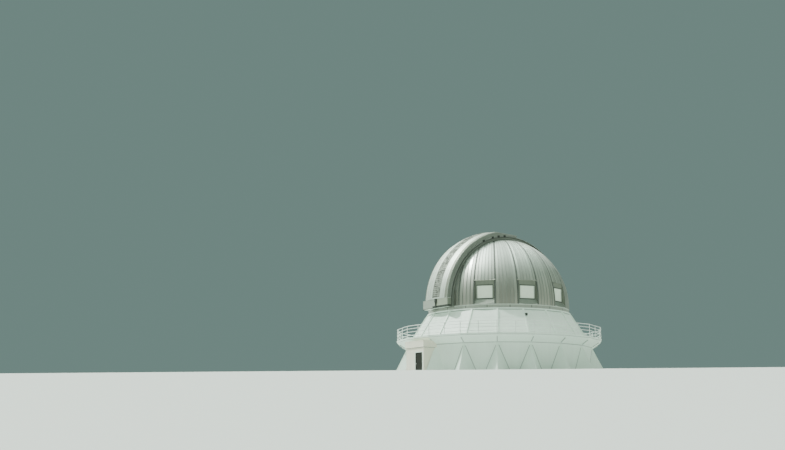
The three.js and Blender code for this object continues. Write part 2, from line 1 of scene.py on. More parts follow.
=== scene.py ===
"""Looks of an observatory dome on a round building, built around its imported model, in metres.

The photographed front faces -Y and +Z is up. An azimuth is measured from -Y and grows towards +X.
The dome's own pieces are drawn with the slit facing -Y and are then turned with the dome.
"""
import logging
import math
from dataclasses import dataclass, field
from enum import Enum

import bmesh
import bpy
import numpy as np
from mathutils import Matrix, Vector


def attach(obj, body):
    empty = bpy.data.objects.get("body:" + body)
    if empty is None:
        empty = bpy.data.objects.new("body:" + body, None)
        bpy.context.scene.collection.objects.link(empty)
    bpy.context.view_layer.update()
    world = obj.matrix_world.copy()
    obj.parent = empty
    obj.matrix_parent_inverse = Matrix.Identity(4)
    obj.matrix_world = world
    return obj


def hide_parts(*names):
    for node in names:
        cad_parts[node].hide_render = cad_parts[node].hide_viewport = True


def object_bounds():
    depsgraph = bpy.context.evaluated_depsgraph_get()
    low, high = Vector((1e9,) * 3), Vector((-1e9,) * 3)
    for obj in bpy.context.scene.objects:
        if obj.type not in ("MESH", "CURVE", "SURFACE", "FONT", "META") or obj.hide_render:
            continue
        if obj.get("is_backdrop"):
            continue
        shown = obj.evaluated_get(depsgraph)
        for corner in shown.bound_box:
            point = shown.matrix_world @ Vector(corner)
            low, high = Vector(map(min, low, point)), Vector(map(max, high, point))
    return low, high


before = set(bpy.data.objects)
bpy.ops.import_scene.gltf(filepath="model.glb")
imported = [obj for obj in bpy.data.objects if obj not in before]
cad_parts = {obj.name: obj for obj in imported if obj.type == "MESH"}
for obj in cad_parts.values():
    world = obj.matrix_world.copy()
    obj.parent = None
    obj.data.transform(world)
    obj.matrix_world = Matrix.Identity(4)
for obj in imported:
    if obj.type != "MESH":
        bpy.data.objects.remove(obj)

LOG = logging.getLogger("observatory_dome")
DOME_TURN = -54.0  # azimuth that the slit faces
DOME_CENTRE = 6.41  # height of the middle of the dome's globe
SIDES = 18  # sides of the building's plan
BAY = 360.0 / SIDES
HALF_BAY = math.radians(BAY / 2)
BUILDING_TURN = -1.0  # azimuth of the plan's first corner
ENTRY_TURN = -49.0  # azimuth that the entrance faces
DOORWAY = (0.06, 1.0, 2.03)  # left side, right side and head of the door's opening
ARC_STEP = 2.0  # degrees between the points of a drawn arc
BEVEL_ANGLE = 40.0  # an edge sharper than this gets a chamfer

Pair = tuple[float, float]
Point = tuple[float, float, float]
Colour = tuple[float, float, float]


def on_plan(radius: float, azimuth: float, z: float = 0.0) -> Point:
    """A point at a radius and an azimuth in degrees."""
    a = math.radians(azimuth)
    return (radius * math.sin(a), -radius * math.cos(a), z)


def turn_about_axis(points: list[Point] | np.ndarray, azimuth: float) -> np.ndarray:
    """Turns points about the dome's upright axis.

    Args:
        points: places or ways.
        azimuth: how far, in degrees.

    Returns:
        The turned points.
    """
    a = math.radians(azimuth)
    spin = np.array([[math.cos(a), -math.sin(a), 0], [math.sin(a), math.cos(a), 0], [0, 0, 1]])
    return np.asarray(points, float) @ spin.T


def with_dome(point: Point) -> Point:
    """One place or way, turned with the dome."""
    return tuple(turn_about_axis([point], DOME_TURN)[0])


def over_the_top(rho: float, angle: float, x: float) -> Point:
    """A point on a circle about the dome's centre, from the slit's level line (0 degrees) up and over."""
    a = math.radians(angle)
    return (x, -rho * math.cos(a), DOME_CENTRE + rho * math.sin(a))


def way_over_the_top(angle: float) -> Point:
    """The way outwards at an angle over the dome, in the slit's middle plane."""
    a = math.radians(angle)
    return (0.0, -math.cos(a), math.sin(a))


def spread(start: float, end: float, count: int) -> list[float]:
    """Evenly spaced values from a start to an end, in a number of steps."""
    return [start + (end - start) * i / count for i in range(count + 1)]


def face_outwards(mesh: bpy.types.Mesh, bevel: float = 0.0) -> bpy.types.Mesh:
    """Turns a mesh's faces outwards and chamfers its sharp edges.

    Args:
        mesh: the mesh to work on.
        bevel: width of the chamfer, or 0 for none.

    Returns:
        The same mesh.
    """
    work = bmesh.new()
    work.from_mesh(mesh)
    bmesh.ops.recalc_face_normals(work, faces=work.faces)
    if bevel:
        limit = math.radians(BEVEL_ANGLE)
        sharp = [e for e in work.edges if e.is_manifold and e.calc_face_angle(0) > limit]
        bmesh.ops.bevel(work, geom=sharp, offset=bevel, segments=1, profile=0.5, affect="EDGES")
    work.to_mesh(mesh)
    work.free()
    return mesh


class Draft:
    """Corners and faces gathered for one mesh of closed forms."""

    def __init__(self) -> None:
        """Starts with nothing in it."""
        self.corners: list[Point] = []
        self.faces: list[tuple[int, ...]] = []

    def loft(self, loops: list[list[Point]]) -> None:
        """Adds a skin through outlines with the same number of corners, capped at both ends.

        Args:
            loops: the outlines, one after the other.
        """
        start, count, rows = len(self.corners), len(loops[0]), len(loops)
        self.corners += [tuple(float(v) for v in corner) for loop in loops for corner in loop]
        faces: list[tuple[int, ...]] = []
        for row in range(rows - 1):
            a, b = row * count, (row + 1) * count
            faces += [(a + i, a + (i + 1) % count, b + (i + 1) % count, b + i) for i in range(count)]
        faces += [tuple(range(count - 1, -1, -1)), tuple(range((rows - 1) * count, rows * count))]
        self.faces += [tuple(start + i for i in face) for face in faces]

    def prism(self, outline: list[Point], shift: Point) -> None:
        """Adds a flat outline pushed along a shift.

        Args:
            outline: the corners of the near face, in order.
            shift: the way from the near face to the far one.
        """
        near = [Vector(p) for p in outline]
        self.loft([near, [p + Vector(shift) for p in near]])

    def block(self, low: Point, high: Point) -> None:
        """Adds a box.

        Args:
            low: its corner with the lowest values.
            high: the opposite corner.
        """
        (x0, y0, z0), (x1, y1, z1) = low, high
        plan = ((x0, y0), (x1, y0), (x1, y1), (x0, y1))
        self.loft([[(x, y, z) for x, y in plan] for z in (z0, z1)])

    def blocks(self, *boxes: tuple[Point, Point]) -> None:
        """Adds boxes, each given by its low and its high corner."""
        for low, high in boxes:
            self.block(low, high)

    def rod(self, start: Point, end: Point, radius: float, sides: int = 10) -> None:
        """Adds a round rod with flat ends.

        Args:
            start: the middle of one end.
            end: the middle of the other end.
            radius: half its thickness.
            sides: faces round it.
        """
        a, b = Vector(start), Vector(end)
        along = (b - a).normalized()
        side = along.orthogonal().normalized()
        other = along.cross(side)
        steps = [2 * math.pi * i / sides for i in range(sides)]
        loop = [side * (radius * math.cos(t)) + other * (radius * math.sin(t)) for t in steps]
        self.loft([[a + p for p in loop], [b + p for p in loop]])

    def turned(self, azimuth: float) -> "Draft":
        """A copy of the draft, turned about the upright axis by an azimuth in degrees."""
        return Draft().take(self, azimuth)

    def take(self, other: "Draft", azimuth: float) -> "Draft":
        """Takes in another draft's forms.

        Args:
            other: the draft to copy from.
            azimuth: how far it is turned about the upright axis, in degrees.

        Returns:
            This draft.
        """
        start = len(self.corners)
        self.corners += [tuple(p) for p in turn_about_axis(other.corners, azimuth)]
        self.faces += [tuple(start + i for i in face) for face in other.faces]
        return self

    def mesh(self, name: str, bevel: float = 0.0) -> bpy.types.Mesh:
        """Makes the mesh, with its faces turned outwards.

        Args:
            name: the mesh's name.
            bevel: width of the chamfer on its sharp edges, or 0.

        Returns:
            The finished mesh.
        """
        made = bpy.data.meshes.new(name)
        made.from_pydata(self.corners, [], self.faces)
        return face_outwards(made, bevel)


# Node trees


class Value:
    """A number in a node tree, with the arithmetic that makes more of them."""

    def __init__(self, work: "NodeWork", socket: bpy.types.NodeSocket) -> None:
        """Keeps the tree's worker and the socket that gives the number."""
        self.work = work
        self.socket = socket

    def __add__(self, other: "Value | float") -> "Value":
        """The sum."""
        return self.work.math("ADD", self, other)

    __radd__ = __add__

    def __sub__(self, other: "Value | float") -> "Value":
        """The difference."""
        return self.work.math("SUBTRACT", self, other)

    def __rsub__(self, other: float) -> "Value":
        """The difference."""
        return self.work.math("SUBTRACT", other, self)

    def __mul__(self, other: "Value | float") -> "Value":
        """The product."""
        return self.work.math("MULTIPLY", self, other)

    __rmul__ = __mul__

    def __truediv__(self, other: "Value | float") -> "Value":
        """The quotient."""
        return self.work.math("DIVIDE", self, other)


class NodeWork:
    """Puts nodes into one tree and joins them."""

    def __init__(self, tree: bpy.types.NodeTree) -> None:
        """Keeps the tree."""
        self.tree = tree

    def feed(self, socket: bpy.types.NodeSocket, value: object) -> None:
        """Links a value to a socket, or sets the socket to it.

        Args:
            socket: where the value goes.
            value: a value or socket of the tree, or a plain one.
        """
        if isinstance(value, Value):
            value = value.socket
        if isinstance(value, bpy.types.NodeSocket):
            self.tree.links.new(value, socket)
        else:
            socket.default_value = value

    def node(self, kind: str, settings: dict | None = None, inputs: dict | None = None) -> bpy.types.Node:
        """Adds a node.

        Args:
            kind: the node's type.
            settings: its properties by name.
            inputs: its sockets' values, by name or number.

        Returns:
            The node.
        """
        made = self.tree.nodes.new(kind)
        for name, value in (settings or {}).items():
            setattr(made, name, value)
        for key, value in (inputs or {}).items():
            self.feed(made.inputs[key], value)
        return made

    def value(
        self, kind: str, settings: dict | None = None, inputs: dict | None = None, out: int | str = 0
    ) -> Value:
        """Adds a node and gives one of its outputs.

        Args:
            kind: the node's type.
            settings: its properties by name.
            inputs: its sockets' values, by name or number.
            out: the output's name or number.

        Returns:
            That output as a value.
        """
        return Value(self, self.node(kind, settings, inputs).outputs[out])

    def math(self, operation: str, *values: "Value | float", clamp: bool = False) -> Value:
        """Adds one step of arithmetic.

        Args:
            operation: what is done.
            values: what it is done to.
            clamp: True to hold the result between 0 and 1.

        Returns:
            The result.
        """
        settings = {"operation": operation, "use_clamp": clamp}
        return self.value("ShaderNodeMath", settings, dict(enumerate(values)))

    def vector_math(self, operation: str, *values: object) -> Value:
        """Adds one step of vector arithmetic."""
        return self.value("ShaderNodeVectorMath", {"operation": operation}, dict(enumerate(values)))

    def scaled(self, vector: "Value | Colour", factor: Value) -> Value:
        """A vector or colour times a factor."""
        inputs = {0: vector, "Scale": factor}
        return self.value("ShaderNodeVectorMath", {"operation": "SCALE"}, inputs)

    def split(self, vector: Value) -> tuple[Value, Value, Value]:
        """The three parts of a vector."""
        parts = self.node("ShaderNodeSeparateXYZ", None, {0: vector})
        return tuple(Value(self, socket) for socket in parts.outputs)

    def joined(self, x: "Value | float", y: "Value | float", z: "Value | float") -> Value:
        """A vector of three parts."""
        return self.value("ShaderNodeCombineXYZ", None, {0: x, 1: y, 2: z})

    def noise(self, place: Value, scale: float, detail: float) -> Value:
        """Soft noise from 0 to 1."""
        inputs = {"Vector": place, "Scale": scale, "Detail": detail}
        return self.value("ShaderNodeTexNoise", {"noise_dimensions": "3D"}, inputs)

    def eased(self, value: Value, low: float, high: float, first: float = 0.0, last: float = 1.0) -> Value:
        """Goes softly from one value to another.

        Args:
            value: what it follows.
            low: where the change begins.
            high: where it ends.
            first: the result up to the beginning.
            last: the result from the end on.

        Returns:
            The result.
        """
        inputs = {0: value, 1: low, 2: high, 3: first, 4: last}
        return self.value("ShaderNodeMapRange", {"interpolation_type": "SMOOTHSTEP"}, inputs)

    def mixed(self, share: Value, first: "Value | Colour", second: "Value | Colour") -> Value:
        """Mixes two colours.

        Args:
            share: how much of the second there is, from 0 to 1.
            first: a colour.
            second: another one.

        Returns:
            The mixed colour.
        """
        a, b = (c if isinstance(c, Value) else (*c, 1.0) for c in (first, second))
        # numbers, because this node has a factor and two inputs of each kind under the same names
        return self.value("ShaderNodeMix", {"data_type": "RGBA"}, {0: share, 6: a, 7: b}, 2)


# Finishes

PATCH_SWING = 2.6  # soft noise stays near its middle, so its swing is widened by this
GRAIN_SWING = 2.0
STREAKS_PER_M = 0.35  # how often a streak changes along its length
DULL_WHERE_DARK = 0.35  # how much rougher a mark is than the clean surface
BUMP_STRENGTH = 0.6


@dataclass(frozen=True)
class Finish:
    """A finish: its colour and gloss, how weather and handling have marked it, and a darkening at one end of
    its height, which on the shutter's sheet is a painted reflection.
    """

    name: str
    colour: Colour
    roughness: float
    metallic: float = 0.0
    patch: float = 0.05  # light and dark patches
    patch_size: float = 1.5
    streak: float = 0.04  # upright rain streaks
    streak_width: float = 0.22
    grain: float = 0.03  # fine speckle
    grain_size: float = 0.03
    bump: float = 0.0006
    foot: float = 0.0  # how much darker it is at one end of its height
    foot_from: float = 0.0  # height where it is darkest
    foot_to: float = 1.0  # height where the dark has faded out
    slot: str = ""

    def colour_factor(self, work: NodeWork, place: Value) -> Value:
        """How light the surface is at each place.

        Args:
            work: the material's tree.
            place: object coordinates.

        Returns:
            A factor about 1.
        """
        patches = work.noise(place, 1 / self.patch_size, 4.0)
        narrow = (1 / self.streak_width, 1 / self.streak_width, STREAKS_PER_M)
        streaks = work.noise(work.vector_math("MULTIPLY", place, narrow), 1.0, 3.0)
        speckle = work.noise(place, 1 / self.grain_size, 2.0)
        factor = 1 + (patches - 0.5) * (PATCH_SWING * self.patch)
        factor = factor + (streaks - 0.5) * (PATCH_SWING * self.streak)
        factor = factor + (speckle - 0.5) * (GRAIN_SWING * self.grain)
        if self.foot:
            height = work.split(place)[2]
            factor = factor * work.eased(height, self.foot_from, self.foot_to, 1 - self.foot)
        return factor

    def material(self) -> bpy.types.Material:
        """Makes the material of this finish, once.

        Returns:
            The material.
        """
        found = bpy.data.materials.get(self.name)
        if found:
            return found
        made = bpy.data.materials.new(self.name)
        made.use_nodes = True
        work = NodeWork(made.node_tree)
        shader = made.node_tree.nodes["Principled BSDF"]
        place = work.value("ShaderNodeTexCoord", out="Object")
        factor = self.colour_factor(work, place)
        height = self.relief(work, place, work.noise(place, 1 / self.grain_size, 3.0))
        relief = {"Strength": BUMP_STRENGTH, "Distance": self.bump, "Height": height}
        work.feed(shader.inputs["Base Color"], self.tinted(work, place, factor))
        work.feed(shader.inputs["Metallic"], self.metallic)
        work.feed(shader.inputs["Roughness"], self.gloss(work, factor))
        work.feed(shader.inputs["Normal"], work.value("ShaderNodeBump", None, relief))
        made.diffuse_color = (*self.colour, 1.0)
        return made

    def tinted(self, work: NodeWork, place: Value, factor: Value) -> Value:
        """The finish's colour at each place."""
        return work.scaled(self.colour, factor)

    def gloss(self, work: NodeWork, factor: Value) -> Value:
        """The roughness at each place: darker places are rougher."""
        rough = self.roughness + DULL_WHERE_DARK
        return work.math("SUBTRACT", rough, factor * DULL_WHERE_DARK, clamp=True)

    def relief(self, work: NodeWork, place: Value, fine: Value) -> Value:
        """The height that the bump follows."""
        return fine


@dataclass(frozen=True)
class PanFinish(Finish):
    """Sheet metal in long pans, each lighter or darker and shinier or duller than the next."""

    tone: float = 0.30
    gloss_range: float = 0.14
    dull_mark: float = 0.8
    dent_size: float = 0.7
    dent: float = 6.0
    grain_share: float = 0.15
    # painted reflection of the ground: the pans turn darker and warmer from the height high down to low
    warm: Colour = (0.60, 0.60, 0.53)
    low: float = 6.2
    high: float = 11.6
    painted_reflection_dark: float = 0.25

    def pan(self, work: NodeWork) -> Value:
        """Each pan's own number, from 0 to 1."""
        return work.value("ShaderNodeAttribute", {"attribute_name": "tone"}, out="Fac")

    def tinted(self, work: NodeWork, place: Value, factor: Value) -> Value:
        """Each pan's own tone, with a painted reflection of the ground: darker and warmer towards the foot
        of the dome.

        Args:
            work: the material's tree.
            place: object coordinates.
            factor: how light the surface is.

        Returns:
            The colour.
        """
        rise = work.eased(work.split(place)[2], self.low, self.high)
        light = factor * (1 - self.tone + self.pan(work) * (2 * self.tone))
        light = light * (1 - self.painted_reflection_dark + rise * self.painted_reflection_dark)
        return work.scaled(work.mixed(rise, self.warm, self.colour), light)

    def gloss(self, work: NodeWork, factor: Value) -> Value:
        """Each pan's own roughness, higher on dark marks.

        Args:
            work: the material's tree.
            factor: how light the surface is.

        Returns:
            The roughness.
        """
        own = (0.5 - self.pan(work)) * (2 * self.gloss_range / self.roughness)
        return work.math("MULTIPLY", 1 + own + (1 - factor) * self.dull_mark, self.roughness, clamp=True)

    def relief(self, work: NodeWork, place: Value, fine: Value) -> Value:
        """Shallow waves in the sheet, long up the dome, with a fine grain on them.

        Args:
            work: the material's tree.
            place: object coordinates.
            fine: the grain.

        Returns:
            The height that the bump follows.
        """
        wave = 1 / self.dent_size
        flat = work.vector_math("MULTIPLY", place, (wave, wave, wave / 2))
        return work.noise(flat, 1.0, 1.5) * self.dent + fine * self.grain_share


@dataclass(frozen=True)
class TreadFinish(Finish):
    """A worn walkway: dark blotches on dull metal."""

    blotch: float = 0.5
    blotch_size: float = 0.30
    blotch_edge: Pair = (0.42, 0.58)

    def colour_factor(self, work: NodeWork, place: Value) -> Value:
        """Dark blotches where the coating is left.

        Args:
            work: the material's tree.
            place: object coordinates.

        Returns:
            A factor of 1 or less.
        """
        mark = work.eased(work.noise(place, 1 / self.blotch_size, 3.0), *self.blotch_edge)
        return super().colour_factor(work, place) * (1 - mark * self.blotch)


WHITE = Finish(
    "white_cladding_sheet", (0.85, 0.97, 0.89), roughness=0.52, patch=0.035, streak=0.035,
    grain=0.012, bump=0.0008, foot=0.07, foot_to=1.6, slot="white_cladding",
)
SKIRT_WHITE = Finish(
    "white_skirt_sheet", (0.84, 0.95, 0.87), roughness=0.5, patch=0.03, streak=0.05,
    streak_width=0.16, grain=0.012, bump=0.0008, foot=0.05, foot_from=3.4, foot_to=4.4,
    slot="white_cladding",
)
TRIM_WHITE = Finish(
    "white_trim_paint", (0.87, 0.97, 0.90), roughness=0.45, patch=0.03, streak=0.02, grain=0.01,
    bump=0.0004, slot="white_cladding",
)
RAIL_WHITE = Finish(
    "railing_paint", (0.80, 0.85, 0.82), roughness=0.4, metallic=0.1, streak=0.03, bump=0.0004,
    slot="rail_paint",
)
RENDER = Finish(
    "entrance_render", (0.88, 0.84, 0.72), roughness=0.85, patch=0.04, patch_size=0.8, grain=0.05,
    grain_size=0.012, bump=0.003, foot=0.1, foot_to=0.7, slot="entry_render",
)
CONCRETE = Finish(
    "plain_concrete", (0.42, 0.41, 0.38), roughness=0.9, patch=0.09, patch_size=1.1, streak=0.0,
    grain=0.08, grain_size=0.015, bump=0.002, slot="concrete",
)
PANS = PanFinish(
    "aluminium_pans", (0.67, 0.73, 0.68), roughness=0.42, metallic=0.92, patch_size=0.9, streak=0.08,
    streak_width=0.12, grain=0.02, slot="aluminium_skin",
)
SHEET = Finish(
    "aluminium_sheet", (0.60, 0.63, 0.60), roughness=0.42, metallic=0.9, patch=0.08, streak=0.06,
    bump=0.0008, slot="aluminium_skin",
)
# the shutter's sheet is darker towards its top (foot, foot_from, foot_to): a painted reflection of the dark
# horizon behind the dome
HOOD_SHEET = Finish(
    "shutter_sheet", (0.68, 0.73, 0.67), roughness=0.50, metallic=0.85, patch=0.09, patch_size=0.7,
    streak=0.06, grain=0.04, bump=0.0012, foot=0.45, foot_from=13.1, foot_to=11.9,
    slot="aluminium_skin",
)
SEAM = Finish(
    "aluminium_seam", (0.40, 0.43, 0.40), roughness=0.5, metallic=0.85, patch=0.06,
    slot="aluminium_skin",
)
# dark joint colour, also painted shade on the strip where a girder meets the shell
JOINT_DARK = Finish(
    "dark_gore_joint", (0.085, 0.095, 0.085), roughness=0.6, metallic=0.4, patch=0.12, streak=0.1,
    grain=0.06, slot="girder_paint",
)
BAND = Finish(
    "base_band_sheet", (0.42, 0.45, 0.40), roughness=0.5, metallic=0.75, patch=0.07, patch_size=2.2,
    streak=0.05, slot="aluminium_skin",
)
GIRDER = Finish(
    "girder_metal", (0.26, 0.28, 0.25), roughness=0.55, metallic=0.6, patch=0.08, streak=0.07,
    grain=0.04, slot="girder_paint",
)
# lighter than the girder's metal: painted light on the flanges that catch the light
GIRDER_LIT = Finish(
    "girder_flange_metal", (0.48, 0.51, 0.48), roughness=0.5, metallic=0.7, patch=0.06, streak=0.05,
    slot="girder_paint",
)
BAY_SHEET = Finish(
    "vent_bay_sheet", (0.24, 0.26, 0.215), roughness=0.55, metallic=0.55, patch=0.08, patch_size=0.6,
    streak=0.06, slot="aluminium_skin",
)
SILL_SHEET = Finish(
    "vent_sill_sheet", (0.26, 0.29, 0.25), roughness=0.55, metallic=0.6, patch=0.07, patch_size=0.6,
    streak=0.08, slot="aluminium_skin",
)
# grey for painted shade: the strip in the skirt's head recess, the lines at the cove's head and foot, the
# buttress hips and the cove brackets
SHADE = Finish(
    "grey_trim_paint", (0.44, 0.50, 0.47), roughness=0.6, slot="white_cladding",
)
NOSE_LEFT = Finish(
    "nose_sheet_dull", (0.42, 0.46, 0.41), roughness=0.55, metallic=0.6, patch=0.08, streak=0.06,
    slot="aluminium_skin",
)
NOSE_RIGHT = Finish(
    "nose_sheet_pale", (0.42, 0.455, 0.37), roughness=0.55, metallic=0.6, patch=0.10, patch_size=0.4,
    streak=0.06, grain=0.04, slot="aluminium_skin",
)
# dark paint of the latch, the lamp and the roller brackets, also put down as painted shadow along the nose's
# foot and ends and in the vent bays' shade lines
DARK = Finish(
    "dark_gap_paint", (0.045, 0.052, 0.045), roughness=0.7, metallic=0.2, patch=0.12, streak=0.05,
    grain=0.08, slot="girder_paint",
)
# dark grey for painted shadow: the band under the entrance roof's edge
PAINTED_SHADOW = Finish(
    "bracket_steel", (0.20, 0.23, 0.21), roughness=0.6, metallic=0.3, patch=0.1, streak=0.08,
    grain=0.05, slot="girder_paint",
)
VENT = Finish(
    "vent_panel_paint", (0.90, 0.98, 0.84), roughness=0.55, patch_size=0.5, streak=0.05,
    streak_width=0.1, grain=0.02, slot="vent_panel",
)
TREAD = TreadFinish(
    "tread_strip", (0.25, 0.27, 0.235), roughness=0.6, metallic=0.5, patch=0.1, patch_size=0.5,
    streak=0.05, grain=0.08, bump=0.002, slot="aluminium_skin",
)
DOOR = Finish(
    "door_paint_worn", (0.011, 0.012, 0.007), roughness=0.7, metallic=0.1, patch=0.12, patch_size=0.5,
    streak=0.1, grain=0.05, slot="door_paint",
)
STEEL = Finish(
    "handle_steel", (0.55, 0.55, 0.53), roughness=0.3, metallic=1.0, grain=0.04, slot="girder_paint",
)
FLOOR = Finish(
    "studio_floor", (0.62, 0.64, 0.62), roughness=0.8, patch=0.01, streak=0.0, grain=0.01,
    bump=0.0002,
)


# Geometry Nodes


class Section(Enum):
    """The cross-section of what is swept along a path."""

    BAR = "bar"
    ROUND = "round"
    SEAM = "seam"


@dataclass(frozen=True)
class Bar:
    """What is swept along a path: its width, its height outwards and its lift off the path."""

    width: float
    height: float = 0.0
    lift: float = 0.0
    section: Section = Section.BAR

    def sizes(self) -> dict[str, float]:
        """Its sizes, by the names of a tree's inputs."""
        return {"Width": self.width, "Height": self.height, "Lift": self.lift}


class GeometryTree(NodeWork):
    """A Geometry Nodes tree with named inputs, whose result is taken as a plain mesh."""

    seam_top: float = 0.45  # width of a seam's top, as a share of its foot's
    round_sides: int = 8

    def __init__(self, name: str) -> None:
        """Makes the tree with its geometry input and output.

        Args:
            name: what it is called.
        """
        super().__init__(bpy.data.node_groups.new(name, "GeometryNodeTree"))
        face = self.tree.interface
        for way in ("INPUT", "OUTPUT"):
            face.new_socket(name="Geometry", in_out=way, socket_type="NodeSocketGeometry")
        self.entry = self.tree.nodes.new("NodeGroupInput")
        self.exit = self.tree.nodes.new("NodeGroupOutput")

    def entered(self) -> Value:
        """The geometry that comes in."""
        return Value(self, self.entry.outputs["Geometry"])

    def size(self, name: str, kind: str = "NodeSocketFloat") -> Value:
        """Adds a named input.

        Args:
            name: what it is called.
            kind: its socket's type.

        Returns:
            Its value inside the tree.
        """
        self.tree.interface.new_socket(name=name, in_out="INPUT", socket_type=kind)
        return Value(self, self.entry.outputs[name])

    def attribute(self, name: str, kind: str = "FLOAT_VECTOR") -> Value:
        """A named attribute of the geometry."""
        settings = {"data_type": kind}
        return self.value("GeometryNodeInputNamedAttribute", settings, {"Name": name}, "Attribute")

    def stored(self, geometry: Value, name: str, kind: str, value: Value) -> Value:
        """Keeps a value on each corner of the geometry.

        Args:
            geometry: what it is kept on.
            name: the attribute's name.
            kind: its type.
            value: its value.

        Returns:
            The geometry with the attribute.
        """
        settings = {"data_type": kind, "domain": "POINT"}
        inputs = {"Geometry": geometry, "Name": name, "Value": value}
        return self.value("GeometryNodeStoreNamedAttribute", settings, inputs)

    def close(self, geometry: Value) -> None:
        """Ends the tree with real copies and the finish.

        Args:
            geometry: what the tree has made.
        """
        solid = self.value("GeometryNodeRealizeInstances", None, {0: geometry})
        inputs = {"Geometry": solid, "Material": self.size("Finish", "NodeSocketMaterial")}
        painted = self.value("GeometryNodeSetMaterial", None, inputs)
        self.feed(self.exit.inputs["Geometry"], painted)

    def profile(self, section: Section, width: Value, height: Value) -> Value:
        """Draws a cross-section.

        Args:
            section: which one.
            width: its width.
            height: its height.

        Returns:
            Its outline.
        """
        if section is Section.ROUND:
            sizes = {"Resolution": self.round_sides, "Radius": width * 0.5}
            return self.value("GeometryNodeCurvePrimitiveCircle", None, sizes)
        if section is Section.SEAM:
            mode = "TRAPEZOID"
            top = width * self.seam_top
            sizes = {"Bottom Width": width, "Top Width": top, "Height": height, "Offset": 0.0}
        else:
            mode = "RECTANGLE"
            sizes = {"Width": width, "Height": height}
        return self.value("GeometryNodeCurvePrimitiveQuadrilateral", {"mode": mode}, sizes)

    def swept(self, line: Value, outward: Value, section: Section) -> Value:
        """Sweeps a cross-section along lines.

        Args:
            line: edges to follow.
            outward: the way in which the section's height points.
            section: which cross-section.

        Returns:
            The swept geometry.
        """
        width, height, lift = self.size("Width"), self.size("Height"), self.size("Lift")
        curve = self.value("GeometryNodeMeshToCurve", None, {"Mesh": line})
        inputs = {"Curve": curve, "Normal": outward}
        curve = self.value("GeometryNodeSetCurveNormal", {"mode": "FREE"}, inputs)
        middle = 0.0 if section is Section.ROUND else height * 0.5
        placing = {
            "Geometry": self.profile(section, width, height),
            "Translation": self.joined(lift + middle, 0.0, 0.0),
            "Rotation": (0.0, 0.0, -math.pi / 2),
        }
        profile = self.value("GeometryNodeTransform", None, placing)
        sweep = {"Curve": curve, "Profile Curve": profile, "Fill Caps": True}
        return self.value("GeometryNodeCurveToMesh", None, sweep)

    def run(self, name: str, source: bpy.types.Mesh, sizes: dict[str, object]) -> bpy.types.Mesh:
        """Runs the tree on a mesh.

        Args:
            name: the result's name.
            source: what goes in.
            sizes: the named inputs' values.

        Returns:
            The result as a plain mesh, with its faces turned outwards.
        """
        carrier = bpy.data.objects.new(name + "_source", source)
        bpy.context.scene.collection.objects.link(carrier)
        modifier = carrier.modifiers.new("shape", "NODES")
        modifier.node_group = self.tree
        for item in self.tree.interface.items_tree:
            if item.item_type == "SOCKET" and item.in_out == "INPUT" and item.name in sizes:
                modifier[item.identifier] = sizes[item.name]
        depsgraph = bpy.context.evaluated_depsgraph_get()
        evaluated = carrier.evaluated_get(depsgraph)
        made = bpy.data.meshes.new_from_object(evaluated, preserve_all_data_layers=True, depsgraph=depsgraph)
        carrier.modifiers.remove(modifier)
        bpy.data.objects.remove(carrier)
        made.name = name
        return face_outwards(made)


class SweepTree(GeometryTree):
    """Sweeps a cross-section along drawn paths: rails, ribs, flashings and trims."""

    def __init__(self, section: Section) -> None:
        """Builds the tree for one cross-section."""
        super().__init__("sweep_" + section.value)
        self.close(self.swept(self.entered(), self.attribute("outward"), section))


class ScatterTree(GeometryTree):
    """Sets a copy of a shape on each drawn spot: bolts, brackets, posts and plates."""

    def __init__(self) -> None:
        """Builds the tree."""
        super().__init__("scatter")
        inputs = {"Object": self.size("Shape", "NodeSocketObject")}
        copy = self.value("GeometryNodeObjectInfo", None, inputs, "Geometry")
        axes = {"Primary Axis": self.attribute("outward"), "Secondary Axis": self.attribute("along")}
        settings = {"primary_axis": "Z", "secondary_axis": "X"}
        spin = self.value("FunctionNodeAxesToRotation", settings, axes)
        spots = {"Points": self.entered(), "Instance": copy, "Rotation": spin}
        self.close(self.value("GeometryNodeInstanceOnPoints", None, spots))


